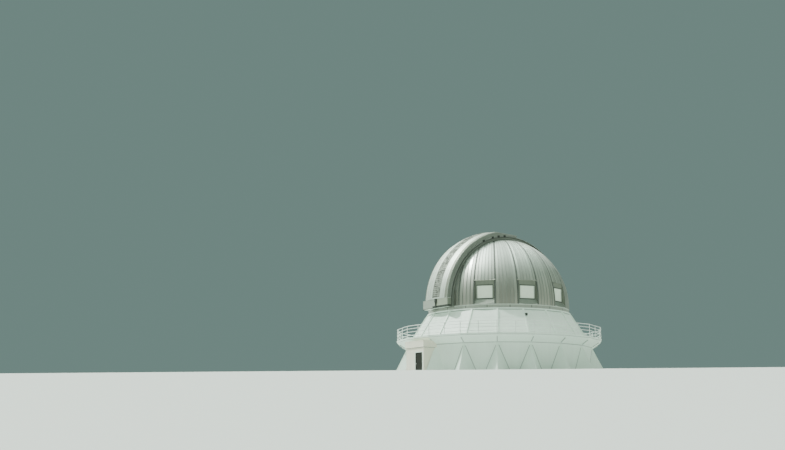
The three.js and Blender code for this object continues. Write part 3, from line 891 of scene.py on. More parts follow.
class DomeTree(GeometryTree):
    """Lays pans or seams over half of the dome.

    What comes in is drawn flat: X is the azimuth of a seam's foot from the slit, in radians, and Y
    runs from 0 at the foot to 1 where the seam meets the girder. Each seam lies in an upright plane
    through the pole.
    """

    def __init__(self, seams: bool) -> None:
        """Builds the tree.

        Args:
            seams: True for the seams, and False for the pans between them.
        """
        super().__init__("dome_seams" if seams else "dome_pans")
        centre, mirror = self.size("Centre Height"), self.size("Mirror")
        place, layer = self.on_globe(centre)
        outward = self.vector_math("NORMALIZE", place)
        inwards = self.scaled(outward, layer * self.size("Thickness"))
        laid = self.vector_math("ADD", place, inwards)
        laid = self.vector_math("ADD", laid, self.joined(0.0, 0.0, centre))
        flip = self.joined(mirror, 1.0, 1.0)
        kept = self.stored(
            self.entered(), "outward", "FLOAT_VECTOR", self.vector_math("MULTIPLY", outward, flip)
        )
        inputs = {"Geometry": kept, "Position": self.vector_math("MULTIPLY", laid, flip)}
        form = self.value("GeometryNodeSetPosition", None, inputs)
        if seams:
            form = self.swept(form, self.attribute("outward"), Section.SEAM)
        else:
            form = self.toned(form)
        inputs = {"Geometry": form, "Rotation": self.joined(0.0, 0.0, self.size("Turn"))}
        self.close(self.value("GeometryNodeTransform", None, inputs))

    def on_globe(self, centre: Value) -> tuple[Value, Value]:
        """Finds where each corner lies on the dome's globe, from its flat place.

        Args:
            centre: the height of the globe's middle.

        Returns:
            The place as seen from the globe's middle, and the layer: 0 outside, -1 inside.
        """
        flat_x, flat_y, layer = self.split(self.value("GeometryNodeInputPosition"))
        radius, foot = self.size("Radius"), self.size("Foot Height")
        pole_x, pole_y = self.size("Pole X"), self.size("Pole Y")
        cut_x, cut_y = self.size("Cut Normal X"), self.size("Cut Normal Y")
        cut = self.size("Cut Distance")
        start = self.attribute("start", "FLOAT")

        # the seam's foot, and the level way from there to the pole
        drop = foot - centre
        plan = self.root(radius * radius - drop * drop)
        base_x = plan * self.math("SINE", flat_x)
        base_y = 0.0 - plan * self.math("COSINE", flat_x)
        way_x, way_y = pole_x - base_x, pole_y - base_y
        reach = self.root(way_x * way_x + way_y * way_y)
        way_x, way_y = way_x / reach, way_y / reach

        # the circle in which the seam's upright plane cuts the globe
        near = 0.0 - (base_x * way_x + base_y * way_y)
        side_x, side_y = base_x + way_x * near, base_y + way_y * near
        ring = self.root(radius * radius - side_x * side_x - side_y * side_y)

        # the angles on that circle where the seam begins and where it meets the girder
        first = math.pi - self.math("ARCSINE", (start - centre) / ring)
        to_cut = (cut - cut_x * base_x - cut_y * base_y) / (cut_x * way_x + cut_y * way_y) - near
        last = self.math("ARCTAN2", self.root(ring * ring - to_cut * to_cut), to_cut)
        angle = first + (last - first) * flat_y
        along, rise = ring * self.math("COSINE", angle), ring * self.math("SINE", angle)
        return self.joined(side_x + way_x * along, side_y + way_y * along, rise), layer

    def toned(self, form: Value) -> Value:
        """Gives each pan its own number for its tone.

        Args:
            form: the laid pans.

        Returns:
            The pans with the number kept on them.
        """
        inputs = {"ID": self.attribute("strip", "INT"), "Seed": self.size("Seed", "NodeSocketInt")}
        chance = self.node("FunctionNodeRandomValue", {"data_type": "FLOAT"}, inputs)
        number = next(s for s in chance.outputs if s.enabled and s.type == "VALUE")
        return self.stored(form, "tone", "FLOAT", Value(self, number))

    def root(self, value: Value) -> Value:
        """The square root of a value, or of 0 if it is below 0."""
        return self.math("SQRT", self.math("MAXIMUM", value, 0.0))


# Paths, spots and pieces


@dataclass
class Path:
    """A line to sweep along, with the way that faces outwards at each of its points."""

    points: list[Point]
    outward: list[Point]
    closed: bool = False


@dataclass
class Spot:
    """A place for a copy of a shape, with the ways that its Z and X axes point."""

    place: Point
    outward: Point = (0.0, 0.0, 1.0)
    along: Point = (1.0, 0.0, 0.0)


def with_vectors(mesh: bpy.types.Mesh, name: str, vectors: list[Point] | np.ndarray) -> None:
    """Keeps one vector a corner on a mesh, under a name."""
    attribute = mesh.attributes.new(name, "FLOAT_VECTOR", "POINT")
    attribute.data.foreach_set("vector", np.asarray(vectors, np.float32).ravel())


def path_mesh(paths: list[Path]) -> bpy.types.Mesh:
    """Draws edges along paths.

    Args:
        paths: the paths.

    Returns:
        A mesh of edges, with the ways outwards kept on it.
    """
    corners, outward, edges = [], [], []
    for path in paths:
        first, count = len(corners), len(path.points)
        corners += path.points
        outward += path.outward
        edges += [(first + i, first + i + 1) for i in range(count - 1)]
        if path.closed:
            edges.append((first + count - 1, first))
    made = bpy.data.meshes.new("paths")
    made.from_pydata(corners, edges, [])
    with_vectors(made, "outward", outward)
    return made


def spot_mesh(spots: list[Spot]) -> bpy.types.Mesh:
    """Draws one corner for each spot.

    Args:
        spots: the spots.

    Returns:
        A mesh of single corners, with the spots' ways kept on it.
    """
    made = bpy.data.meshes.new("spots")
    made.from_pydata([s.place for s in spots], [], [])
    with_vectors(made, "outward", [s.outward for s in spots])
    with_vectors(made, "along", [s.along for s in spots])
    return made


class Workshop:
    """The trees that all sub-assemblies share."""

    def __init__(self) -> None:
        """Builds the trees."""
        self.sweeps = {section: SweepTree(section) for section in Section}
        self.scatter = ScatterTree()


@dataclass
class SubAssembly:
    """A part of the object: its pieces, which all move with one body, and the ways to make them."""

    shop: Workshop
    body: str = ""
    made: list[bpy.types.Object] = field(default_factory=list)

    def piece(
        self, mesh: bpy.types.Mesh, finish: Finish, nodes: tuple[str, ...] = (), smooth: float = 0.0
    ) -> None:
        """Turns a mesh into a piece of the object.

        Args:
            mesh: its shape, already in place.
            finish: what it is painted with.
            nodes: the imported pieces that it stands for.
            smooth: the angle in degrees below which its edges look round, or 0 for flat faces.
        """
        mesh.materials.clear()
        mesh.materials.append(finish.material())
        if smooth:
            mesh.shade_smooth()
            mesh.set_sharp_from_angle(angle=math.radians(smooth))
        else:
            mesh.shade_flat()
        made = bpy.data.objects.new(mesh.name, mesh)
        bpy.context.scene.collection.objects.link(made)
        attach(made, self.body)
        if nodes:
            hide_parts(*nodes)
        self.made.append(made)

    def sweep(
        self,
        name: str,
        paths: list[Path],
        bar: Bar,
        finish: Finish,
        nodes: tuple[str, ...] = (),
        smooth: float = 0.0,
    ) -> None:
        """Sweeps a bar along paths.

        Args:
            name: the piece's name.
            paths: where it runs.
            bar: what is swept.
            finish: what it is painted with.
            nodes: as for piece().
            smooth: as for piece().
        """
        sizes = {**bar.sizes(), "Finish": finish.material()}
        self.piece(self.shop.sweeps[bar.section].run(name, path_mesh(paths), sizes), finish, nodes, smooth)

    def copies(self, name: str, shape: Draft, spots: list[Spot], finish: Finish, bevel: float = 0.0) -> None:
        """Sets a copy of a shape on each spot.

        Args:
            name: the piece's name.
            shape: what is copied, drawn about the origin.
            spots: where the copies go.
            finish: what they are painted with.
            bevel: width of the chamfer on the shape's edges.
        """
        pattern = bpy.data.objects.new(name + "_pattern", shape.mesh(name + "_pattern", bevel))
        bpy.context.scene.collection.objects.link(pattern)
        sizes = {"Shape": pattern, "Finish": finish.material()}
        mesh = self.shop.scatter.run(name, spot_mesh(spots), sizes)
        bpy.data.objects.remove(pattern)
        self.piece(mesh, finish)


def corner_azimuth(number: int) -> float:
    """The azimuth of one corner of the building's plan."""
    return BUILDING_TURN + BAY * number


def sided_loop(radius: float, z: float) -> Path:
    """A closed loop round the building's plan of flat sides."""
    azimuths = [corner_azimuth(i) for i in range(SIDES)]
    return Path([on_plan(radius, a, z) for a in azimuths], [on_plan(1.0, a) for a in azimuths], True)


def round_arc(radius: float, z: float, start: float, end: float) -> Path:
    """Draws a level arc.

    Args:
        radius: its radius.
        z: its height.
        start: the azimuth where it begins.
        end: the azimuth where it ends, which is a full turn on for a closed ring.

    Returns:
        The arc.
    """
    closed = abs(end - start) >= 360
    azimuths = spread(start, end, max(2, round(abs(end - start) / ARC_STEP)))
    azimuths = azimuths[:-1] if closed else azimuths
    return Path([on_plan(radius, a, z) for a in azimuths], [on_plan(1.0, a) for a in azimuths], closed)


def upright_arc(rho: float, x: float, start: float, end: float) -> Path:
    """Draws an arc over the dome in an upright plane beside the slit, turned with the dome.

    Args:
        rho: its radius.
        x: how far from the slit's middle it runs.
        start: the angle above level where it begins.
        end: the angle where it ends.

    Returns:
        The arc.
    """
    angles = spread(start, end, max(2, round(abs(end - start) / ARC_STEP)))
    points = [with_dome(over_the_top(rho, a, x)) for a in angles]
    return Path(points, [with_dome(way_over_the_top(a)) for a in angles])


def wall_point(radius: float, azimuth: float, z: float) -> Point:
    """Finds a point on the building's flat sides.

    Args:
        radius: the plan's radius at its corners.
        azimuth: the point's azimuth.
        z: its height.

    Returns:
        The point.
    """
    off = math.radians((azimuth - BUILDING_TURN) % BAY) - HALF_BAY
    return on_plan(radius * math.cos(HALF_BAY) / math.cos(off), azimuth, z)


def hexagon(radius: float, height: float) -> Draft:
    """Draws a bolt's head, standing on the origin.

    Args:
        radius: from its middle to a corner.
        height: how far it stands out.

    Returns:
        The head.
    """
    head = Draft()
    head.rod((0, 0, -0.004), (0, 0, height), radius, 6)
    return head


# The dome


@dataclass
class DomeHalves(SubAssembly):
    """The aluminium skin of the dome: long pans with standing seams, gathered into gores."""

    body: str = "dome"
    skin_r: float = 6.257
    thickness: float = 0.012
    foot: float = 6.195
    lintel: float = 8.31
    pole: Pair = (-2.0, 0.9)
    cut: float = 1.656  # how far from the slit's middle the pans end
    joints: tuple[float, ...] = (15.9, 20.7, 33.9, 51.5, 69.8, 87.4, 105.8, 123.4, 141.8, 159.4, 164.1)
    strips: tuple[int, ...] = (2, 4, 6, 6, 6, 6, 6, 6, 6, 2)
    rows: int = 36
    seam: Bar = Bar(0.034, 0.046, -0.006, Section.SEAM)
    joint: Bar = Bar(0.17, 0.018, -0.006, Section.SEAM)
    rib: Bar = Bar(0.03, 0.040, 0.004, Section.SEAM)
    back_pole: Pair = (0.0, -400.0)  # so far off that the seams run side by side
    back_cut: float = 0.815
    back_half_width: float = 1.52
    back_strips: int = 9

    def feet(self, gore: int) -> list[float]:
        """The azimuths, from the slit, of the seams that bound a gore's pans."""
        return spread(self.joints[gore], self.joints[gore + 1], self.strips[gore])

    def start(self, gore: int) -> float:
        """The height where a gore's pans begin: above a vent bay, or at the foot."""
        return self.lintel if gore > 0 and gore % 2 == 0 else self.foot

    def pan_source(self, strips: list[tuple[float, float, float]]) -> bpy.types.Mesh:
        """Draws pans flat, as the dome's tree takes them in.

        Args:
            strips: for each pan the azimuths of its two edges and the height where it begins.

        Returns:
            Closed thin boxes, with their start heights and numbers kept on them.
        """
        draft, starts, numbers = Draft(), [], []
        rises = spread(0.0, 1.0, self.rows)
        for number, (a, b, start) in enumerate(strips):
            left, right = math.radians(a), math.radians(b)
            draft.loft([[(left, v, 0), (right, v, 0), (right, v, -1), (left, v, -1)] for v in rises])
            starts += [start] * (4 * len(rises))
            numbers += [number] * (4 * len(rises))
        made = bpy.data.meshes.new("pans_flat")
        made.from_pydata(draft.corners, [], draft.faces)
        made.attributes.new("start", "FLOAT", "POINT").data.foreach_set("value", starts)
        made.attributes.new("strip", "INT", "POINT").data.foreach_set("value", numbers)
        return made

    def seam_source(self, lines: list[Pair]) -> bpy.types.Mesh:
        """Draws seams flat.

        Args:
            lines: for each seam its foot's azimuth and the height where it begins.

        Returns:
            Lines of edges, with their start heights kept on them.
        """
        corners, edges, starts = [], [], []
        rises = spread(0.0, 1.0, self.rows)
        for azimuth, start in lines:
            first = len(corners)
            corners += [(math.radians(azimuth), v, 0) for v in rises]
            edges += [(first + i, first + i + 1) for i in range(self.rows)]
            starts += [start] * len(rises)
        made = bpy.data.meshes.new("seams_flat")
        made.from_pydata(corners, edges, [])
        made.attributes.new("start", "FLOAT", "POINT").data.foreach_set("value", starts)
        return made

    def rule(self, finish: Finish, mirror: float) -> dict[str, object]:
        """Gathers the tree's sizes for one half of the dome.

        Args:
            finish: what the result is painted with.
            mirror: 1 for the right half and -1 for the left one.

        Returns:
            The sizes by name.
        """
        return {
            "Radius": self.skin_r, "Centre Height": DOME_CENTRE, "Foot Height": self.foot,
            "Pole X": self.pole[0], "Pole Y": self.pole[1],
            "Cut Normal X": 1.0, "Cut Normal Y": 0.0, "Cut Distance": self.cut,
            "Mirror": mirror, "Turn": math.radians(DOME_TURN), "Thickness": self.thickness,
            "Finish": finish.material(),
        }

    def build(self) -> None:
        """Lays the skin over both halves and over the strip behind the slit."""
        pans, seams = DomeTree(seams=False), DomeTree(seams=True)
        gores = range(len(self.strips))
        strips = [(a, b, self.start(g)) for g in gores for a, b in zip(self.feet(g), self.feet(g)[1:])]
        thin = [(a, self.start(g)) for g in gores for a in self.feet(g)[1:-1]]
        wide = [(a, self.foot) for a in self.joints[1:-1]]
        for side, mirror, seed in (("right", 1.0, 4), ("left", -1.0, 9)):
            sizes = {**self.rule(PANS, mirror), "Seed": seed}
            mesh = pans.run(f"dome_pans_{side}", self.pan_source(strips), sizes)
            self.piece(mesh, PANS, smooth=30)
            for kind, lines, bar, finish in (
                ("seams", thin, self.seam, SEAM),
                ("gore_joints", wide, self.joint, JOINT_DARK),
                ("gore_ribs", wide, self.rib, SEAM),
            ):
                sizes = {**self.rule(finish, mirror), **bar.sizes()}
                mesh = seams.run(f"dome_{kind}_{side}", self.seam_source(lines), sizes)
                self.piece(mesh, finish)
        self.back_strip(pans, seams)

    def back_strip(self, pans: DomeTree, seams: DomeTree) -> None:
        """Lays pans and seams behind the slit, where they run side by side.

        Args:
            pans: the tree for pans.
            seams: the tree for seams.
        """
        plan = math.sqrt(self.skin_r**2 - (self.foot - DOME_CENTRE) ** 2)
        edges = spread(-self.back_half_width, self.back_half_width, self.back_strips)
        feet = [180 - math.degrees(math.asin(x / plan)) for x in edges]
        back = {
            "Pole X": self.back_pole[0], "Pole Y": self.back_pole[1],
            "Cut Normal X": 0.0, "Cut Normal Y": 1.0, "Cut Distance": self.back_cut,
        }
        source = self.pan_source([(a, b, self.foot) for a, b in zip(feet, feet[1:])])
        mesh = pans.run("dome_pans_back_strip", source, {**self.rule(PANS, 1.0), **back, "Seed": 2})
        self.piece(mesh, PANS, smooth=30)
        source = self.seam_source([(a, self.foot) for a in feet[1:-1]])
        sizes = {**self.rule(SEAM, 1.0), **back, **self.seam.sizes()}
        self.piece(seams.run("dome_seams_back_strip", source, sizes), SEAM)


@dataclass
class BaseRing(SubAssembly):
    """The band, the flange over it and their bolts at the foot of the dome."""

    body: str = "dome"
    band_r: float = 6.266
    band: Bar = Bar(0.234, 0.008)
    band_middle: float = 6.0
    flange_r: float = 6.246
    flange: Bar = Bar(0.070, 0.027)
    flange_middle: float = 6.157
    flange_arcs: tuple[Pair, ...] = ((15.9, 164.1), (166.1, 193.9), (195.9, 344.1))
    drip: Bar = Bar(0.020, 0.020)
    drip_middle: float = 5.893
    bolt_step: float = 4.0
    bolt_rows: Pair = (5.95, 6.07)
    bolt: Pair = (0.016, 0.012)
    splice_first: float = 9.0
    splice_step: float = 18.0
    splice_middle: float = 6.01
    splice: tuple[Point, Point] = ((-0.11, -0.055, -0.004), (0.11, 0.055, 0.008))

    def around(self, first: float, step: float, z: float) -> list[Spot]:
        """Sets spots on the band's face, a step apart, with their X axes upright.

        Args:
            first: the first one's azimuth.
            step: the degrees between them.
            z: their height.

        Returns:
            The spots.
        """
        out = self.band_r + self.band.height
        azimuths = [first + step * i for i in range(round(360 / step))]
        return [Spot(on_plan(out, a, z), on_plan(1, a), (0, 0, 1)) for a in azimuths]

    def build(self) -> None:
        """Makes the ring's pieces."""
        ring = [round_arc(self.band_r, self.band_middle, 0, 360)]
        self.sweep("base_band", ring, self.band, BAND, smooth=20)
        arcs = [(a + DOME_TURN, b + DOME_TURN) for a, b in self.flange_arcs]
        rings = [round_arc(self.flange_r, self.flange_middle, a, b) for a, b in arcs]
        self.sweep("base_flange", rings, self.flange, HOOD_SHEET, smooth=20)
        ring = [round_arc(self.band_r, self.drip_middle, 0, 360)]
        self.sweep("base_drip_edge", ring, self.drip, SEAM, smooth=20)
        pairs = zip(*(self.around(0.0, self.bolt_step, z) for z in self.bolt_rows))
        spots = [spot for pair in pairs for spot in pair]
        self.copies("base_band_bolts", hexagon(*self.bolt), spots, STEEL)
        plate = Draft()
        plate.block(*self.splice)
        spots = self.around(self.splice_first, self.splice_step, self.splice_middle)
        self.copies("base_band_splices", plate, spots, GIRDER, bevel=0.003)


@dataclass
class VentBays(SubAssembly):
    """The lining of the flat bays that are let into the dome, and the frame round each vent panel.

    A bay is drawn as if it faced the front. Its cheeks lean outwards by the splay.
    """

    body: str = "dome"
    offsets: tuple[float, ...] = (42.7, 78.6, 114.6, 150.6)
    face: float = 5.956
    half_width: float = 0.84
    splay: float = 0.3
    head: float = 8.30
    sill_head: float = 6.68
    sill_foot: Pair = (6.262, 6.19)
    hole: tuple[float, float, float] = (0.655, 6.74, 7.81)  # half width, foot and head
    sheet: float = 0.006
    cheek_r: float = 6.272  # the globe that the cheeks reach
    cheek_foot: float = 6.36
    cheek_rows: int = 12
    cheek_inset: Point = (0.008, -0.004, 0.0)
    cheek_sheet: Point = (0.012, 0.006, 0.0)
    sill_r: float = 6.268  # the globe that the sills reach
    sill_sheet: float = 0.012
    sill_columns: int = 16
    frame_width: float = 0.055
    frame_proud: float = 0.026
    seal_reach: float = 0.07
    seal_proud: float = 0.034
    cap_reach: float = 0.09
    cap: tuple[Pair, ...] = (
        (-6.003, -0.020), (-5.985, -0.028), (-5.950, -0.012), (-5.86, 0.075), (-5.90, 0.075),
    )  # its outline: places in front of the axis, and heights over the bay's head

    def build(self) -> None:
        """Makes the lining and the frames of all the bays."""
        azimuths = [DOME_TURN + way * a for way in (1, -1) for a in self.offsets]
        ways = [tuple(turn_about_axis([(1, 0, 0)], a)[0]) for a in azimuths]
        spots = [Spot((0, 0, 0), (0, 0, 1), way) for way in ways]
        for name, shape, finish, bevel in (
            ("vent_bay_backs", self.backs(), BAY_SHEET, 0.0),
            ("vent_bay_cheeks", self.cheeks(), BAY_SHEET, 0.0),
            ("vent_bay_sills", self.sills(), SILL_SHEET, 0.0),
            ("vent_frames", self.frames(), SEAM, 0.004),
            ("vent_seals", self.seals(), DARK, 0.0),
            ("vent_lintel_caps", self.caps(), BAY_SHEET, 0.003),
        ):
            self.copies(name, shape, spots, finish, bevel)

    def rim(self, z: float, side: float) -> Pair:
        """Finds where a cheek meets its globe.

        Args:
            z: the height.
            side: 1 for the right cheek and -1 for the left one.

        Returns:
            The point's x and y.
        """
        a, b = self.splay, self.half_width - self.splay * self.face
        room = self.cheek_r**2 - (z - DOME_CENTRE) ** 2
        # x = a * out + b and x * x + out * out = room, where out is the distance from the axis
        out = (-a * b + math.sqrt(a * a * b * b - (1 + a * a) * (b * b - room))) / (1 + a * a)
        return side * (a * out + b), -out

    def sill_line(self, out: float) -> float:
        """The sill's height at a distance in front of the axis."""
        foot_out, foot_z = self.sill_foot
        return self.sill_head - (self.sill_head - foot_z) * (out - self.face) / (foot_out - self.face)

    def backs(self) -> Draft:
        """Draws the flat sheet round the panel, up to the lintel.

        Returns:
            The sheet's four strips.
        """
        x, (hole_x, hole_low, hole_high) = self.half_width - 0.002, self.hole
        x0, z0, z1 = hole_x + 0.03, hole_low - 0.03, hole_high + 0.03
        y0, y1 = -self.face - self.sheet, -self.face + 0.001
        draft = Draft()
        draft.blocks(
            ((-x, y0, self.sill_head + 0.01), (x, y1, z0)),
            ((-x, y0, z1), (x, y1, self.head)),
            ((-x, y0, z0), (-x0, y1, z1)),
            ((x0, y0, z0), (x, y1, z1)),
        )
        return draft

    def cheeks(self) -> Draft:
        """Draws the two splayed cheeks, from the flat back out to the dome's skin.

        Returns:
            The cheeks.
        """
        draft = Draft()
        rise = math.sqrt(self.cheek_r**2 - self.face**2 - self.half_width**2)
        heights = spread(self.cheek_foot, DOME_CENTRE + rise - 0.01, self.cheek_rows)
        for side in (1.0, -1.0):
            inset = Vector((-side * self.cheek_inset[0], *self.cheek_inset[1:]))
            sheet = Vector((side * self.cheek_sheet[0], *self.cheek_sheet[1:]))
            loops = []
            for z in heights:
                x, y = self.rim(z, side)
                outer = Vector((x, y, max(z, self.sill_line(-y)))) + inset
                inner = Vector((side * self.half_width, -self.face, max(z, self.sill_head))) + inset
                loops.append([inner, outer, outer + sheet, inner + sheet])
            draft.loft(loops)
        return draft

    def sills(self) -> Draft:
        """Draws the sloping sill, whose foot follows the dome's round edge.

        Returns:
            The sill.
        """
        reach = self.half_width + self.splay * 0.29
        loops = []
        for share in spread(-1.0, 1.0, self.sill_columns):
            out = self.sill_edge(share * reach)
            head = (share * self.half_width, -self.face + 0.002, self.sill_head + self.sheet)
            foot = (share * reach, -out, self.sill_line(out) + self.sheet)
            under = [(x, y, z - self.sill_sheet) for x, y, z in (foot, head)]
            loops.append([head, foot, *under])
        draft = Draft()
        draft.loft(loops)
        return draft

    def sill_edge(self, x: float) -> float:
        """Finds by halving how far in front of the axis the sill's edge lies.

        Args:
            x: the place across the bay.

        Returns:
            The distance.
        """
        low, high = self.face, self.sill_r + 0.032
        for _ in range(30):
            out = (low + high) / 2
            radius = math.sqrt(x * x + out * out + (self.sill_line(out) - DOME_CENTRE) ** 2)
            low, high = (out, high) if radius < self.sill_r else (low, out)
        return low

    def frames(self) -> Draft:
        """Draws the raised frame round the panel.

        Returns:
            Its four bars.
        """
        (x, z0, z1), wide = self.hole, self.frame_width
        y0, y1 = -self.face - self.frame_proud, -self.face
        draft = Draft()
        draft.blocks(
            ((-x - wide, y0, z0 - wide), (-x, y1, z1 + wide)),
            ((x, y0, z0 - wide), (x + wide, y1, z1 + wide)),
            ((-x, y0, z1), (x, y1, z1 + wide)),
            ((-x, y0, z0 - wide), (x, y1, z0)),
        )
        return draft

    def seals(self) -> Draft:
        """Draws the dark lines over and under the frame, and in the corner beside each cheek: seals that
        also paint the shade below the lintel and in the corners.

        Returns:
            The four seals.
        """
        (hole_x, z0, z1), face = self.hole, -self.face
        x, y = hole_x + self.seal_reach, face - self.seal_proud
        draft = Draft()
        draft.blocks(
            ((-x, y, z1 + 0.03), (x, face, z1 + 0.085)),
            ((-x, y + 0.004, z0 - 0.085), (x, face, z0 - 0.02)),
        )
        low, high = self.sill_head + 0.02, self.head - 0.03
        for side in (1, -1):
            a, b = sorted((side * (self.half_width - 0.035), side * (self.half_width + 0.004)))
            draft.block((a, face - 0.012, low), (b, face, high))
        return draft

    def caps(self) -> Draft:
        """Draws the flashing along the lintel's head, under the ends of the pans.

        Returns:
            The flashing.
        """
        draft = Draft()
        x = self.half_width + self.cap_reach
        draft.prism([(-x, y, self.head + rise) for y, rise in self.cap], (2 * x, 0, 0))
        return draft


@dataclass
class SlitGirders(SubAssembly):
    """The trims of the two curved girders beside the slit: flanges, dark seals that also paint the shade
    where a girder meets the shell, and bolts.
    """

    body: str = "dome"
    outer_x: float = 1.65
    top_r: float = 6.36
    shell_r: float = 6.257
    ends: Pair = (-2.6, 182.6)
    flange: Bar = Bar(0.030, 0.022)
    flange_inset: Pair = (0.008, 0.028)  # out from the girder's side, down from its top
    seal: Bar = Bar(0.085, 0.014)
    seal_out: float = 0.045
    bolt_r: float = 6.31
    bolt_angles: range = range(4, 177, 3)
    bolt: Pair = (0.014, 0.010)

    def build(self) -> None:
        """Makes the girders' trims."""
        low, high = self.ends
        out, down = self.flange_inset
        tops, seals, bolts = [], [], []
        for side in (1, -1):
            x = side * self.outer_x
            tops.append(upright_arc(self.top_r - down, x + side * out, low, high))
            seals.append(upright_arc(self.shell_r - 0.004, x + side * self.seal_out, low + 0.4, high - 0.4))
            for angle in self.bolt_angles:
                place = with_dome(over_the_top(self.bolt_r, angle, x))
                bolts.append(Spot(place, with_dome((side, 0, 0)), (0, 0, 1)))
        self.sweep("girder_flanges", tops, self.flange, GIRDER_LIT)
        self.sweep("girder_seals", seals, self.seal, JOINT_DARK)
        self.copies("girder_bolts", hexagon(*self.bolt), bolts, STEEL)


@dataclass
class Shutter(SubAssembly):
    """The up-and-over shutter: sheets domed both ways, a walkway, edges, nose, latch and brackets.

    Angles along it are in degrees above level. Depths are below its outermost face.
    """

    body: str = "shutter"
    half_width: float = 1.66
    globe_r: float = 6.98
    skin: float = 0.06
    flat: float = 6.57  # height of the skin's flat upper end over the dome's centre
    flat_fall: float = 0.07
    side_foot: float = 6.39
    low: float = 4.0
    high: float = 98.0
    sheets: int = 13
    sheet_rows: int = 6
    sheet_columns: int = 10
    sunk: float = 0.012  # of the sheets below the outermost trims
    lap: float = 0.007
    walk_middle: float = 0.23
    walk_half: float = 0.50
    treads: int = 60
    tread_columns: int = 6
    tread_share: float = 0.88  # of a tread in its pitch
    trim_ends: Pair = (4.4, 97.6)
    trim_depth: float = 0.016
    walk_edge: Bar = Bar(0.03, 0.014)
    seam: Bar = Bar(0.032, 0.014, 0.0, Section.SEAM)
    seams: tuple[float, ...] = (-1.12, -0.72, 1.2)
    flashing_widths: Pair = (0.26, 0.11)
    foot_flange: Bar = Bar(0.034, 0.022)
    rib: Bar = Bar(0.036, 0.014, -0.002)
    rib_first: float = 8.0
    rib_step: float = 7.25
    ribs: int = 13
    nose_half: float = 1.90
    nose_tip: float = 6.93
    nose_side: float = 6.83
    nose_back: float = 6.43
    nose_foot: float = 6.10
    latch_blocks: tuple[tuple[Point, Point], ...] = (
        ((0.10, -0.070, 6.58), (0.38, 0.02, 6.90)),
        ((0.16, -0.055, 6.22), (0.32, 0.02, 6.60)),
        ((0.20, -0.085, 6.52), (0.28, -0.05, 6.78)),
    )  # measured from the nose's ridge
    bracket_blocks: tuple[tuple[Point, Point], ...] = (
        ((-0.14, -0.11, -0.002), (0.035, 0.11, 0.040)),
        ((-0.10, -0.045, 0.03), (0.00, 0.045, 0.056)),
    )
    bracket_r: float = 6.42
    bracket_angles: tuple[float, ...] = (64.5, 74.0, 80.0, 86.0)

    def build(self) -> None:
        """Makes the shutter's pieces."""
        self.cover()
        self.walkway()
        self.edges()
        self.sides()
        self.nose()
        self.nose_ends()
        self.latch()
        self.brackets()

    def rho(self, x: float, angle: float, depth: float = 0.0) -> float:
        """Finds how far the skin lies from the slit's level axis.

        Args:
            x: the place across the shutter.
            angle: the place along it.
            depth: how far below the outermost face.

        Returns:
            The distance, on the globe or on the flat upper end.
        """
        a = math.radians(angle)
        domed = math.sqrt((self.globe_r - depth) ** 2 - x * x)
        rise = math.sin(a) - self.flat_fall * math.cos(a)
        return min(domed, (self.flat - depth) / rise) if rise > 0.5 else domed

    def point(self, x: float, angle: float, depth: float = 0.0) -> Point:
        """A place on the skin, drawn with the slit facing the front."""
        return over_the_top(self.rho(x, angle, depth), angle, x)

    def line(self, x: float, start: float, end: float) -> Path:
        """Draws a line up the skin, turned with the dome.

        Args:
            x: its place across the shutter.
            start: the angle where it begins.
            end: the angle where it ends.

        Returns:
            The line.
        """
        angles = spread(start, end, round((end - start) / ARC_STEP))
        places = np.array([self.point(x, a, self.trim_depth) for a in angles])
        ways = places - (0.0, 0.0, DOME_CENTRE)
        ways /= np.linalg.norm(ways, axis=1)[:, None]
        return Path([with_dome(p) for p in places], [with_dome(w) for w in ways])

    def layer(self, columns: list[float], angle: float, top: float, under: float) -> list[Point]:
        """Draws the outline of a sheet at one angle.

        Args:
            columns: places across the shutter.
            angle: the place along it.
            top: the depth of its outer face.
            under: the depth of its inner face.

        Returns:
            The outline.
        """
        upper = [self.point(x, angle, top) for x in columns]
        return upper + [self.point(x, angle, under) for x in reversed(columns)]

    def cover(self) -> None:
        """Lays the curved sheets, each lapped over the one above it, on the shutter's ribs."""
        draft = Draft()
        span = (self.high - self.low) / self.sheets
        columns = spread(-self.half_width, self.half_width, self.sheet_columns)
        for number in range(self.sheets):
            loops = []
            for row in range(self.sheet_rows + 1):
                share = row / self.sheet_rows
                angle = self.low + span * (number + share)
                loops.append(self.layer(columns, angle, self.sunk - self.lap * (1 - share), self.skin))
            draft.loft(loops)
        mesh = draft.turned(DOME_TURN).mesh("shutter_sheets")
        self.piece(mesh, HOOD_SHEET, ("shutter_skin",), smooth=20)

    def walkway(self) -> None:
        """Sets tread plates up the shutter, between two edge bars, and seams beside them."""
        draft = Draft()
        middle, half = self.walk_middle, self.walk_half
        columns = spread(middle - half, middle + half, self.tread_columns)
        pitch = (self.high - self.low - 2.0) / self.treads
        for number in range(self.treads):
            first = self.low + 1.0 + pitch * number
            angles = (first, first + pitch * self.tread_share)
            draft.loft([self.layer(columns, a, 0.002, self.sunk + 0.006) for a in angles])
        self.piece(draft.turned(DOME_TURN).mesh("shutter_treads"), TREAD)
        lines = [self.line(middle + side * (half + 0.025), *self.trim_ends) for side in (-1, 1)]
        self.sweep("shutter_walkway_edges", lines, self.walk_edge, GIRDER)
        lines = [self.line(x, *self.trim_ends) for x in self.seams]
        self.sweep("shutter_seams", lines, self.seam, SEAM)

    def edges(self) -> None:
        """Sets the flashings along the shutter's long edges."""
        for name, side, width in zip(("right", "left"), (1, -1), self.flashing_widths):
            lines = [self.line(side * (self.half_width - 0.01 - width / 2), self.low, self.high)]
            bar = Bar(width, 0.013)
            self.sweep(f"shutter_edge_flashing_{name}", lines, bar, BAY_SHEET)

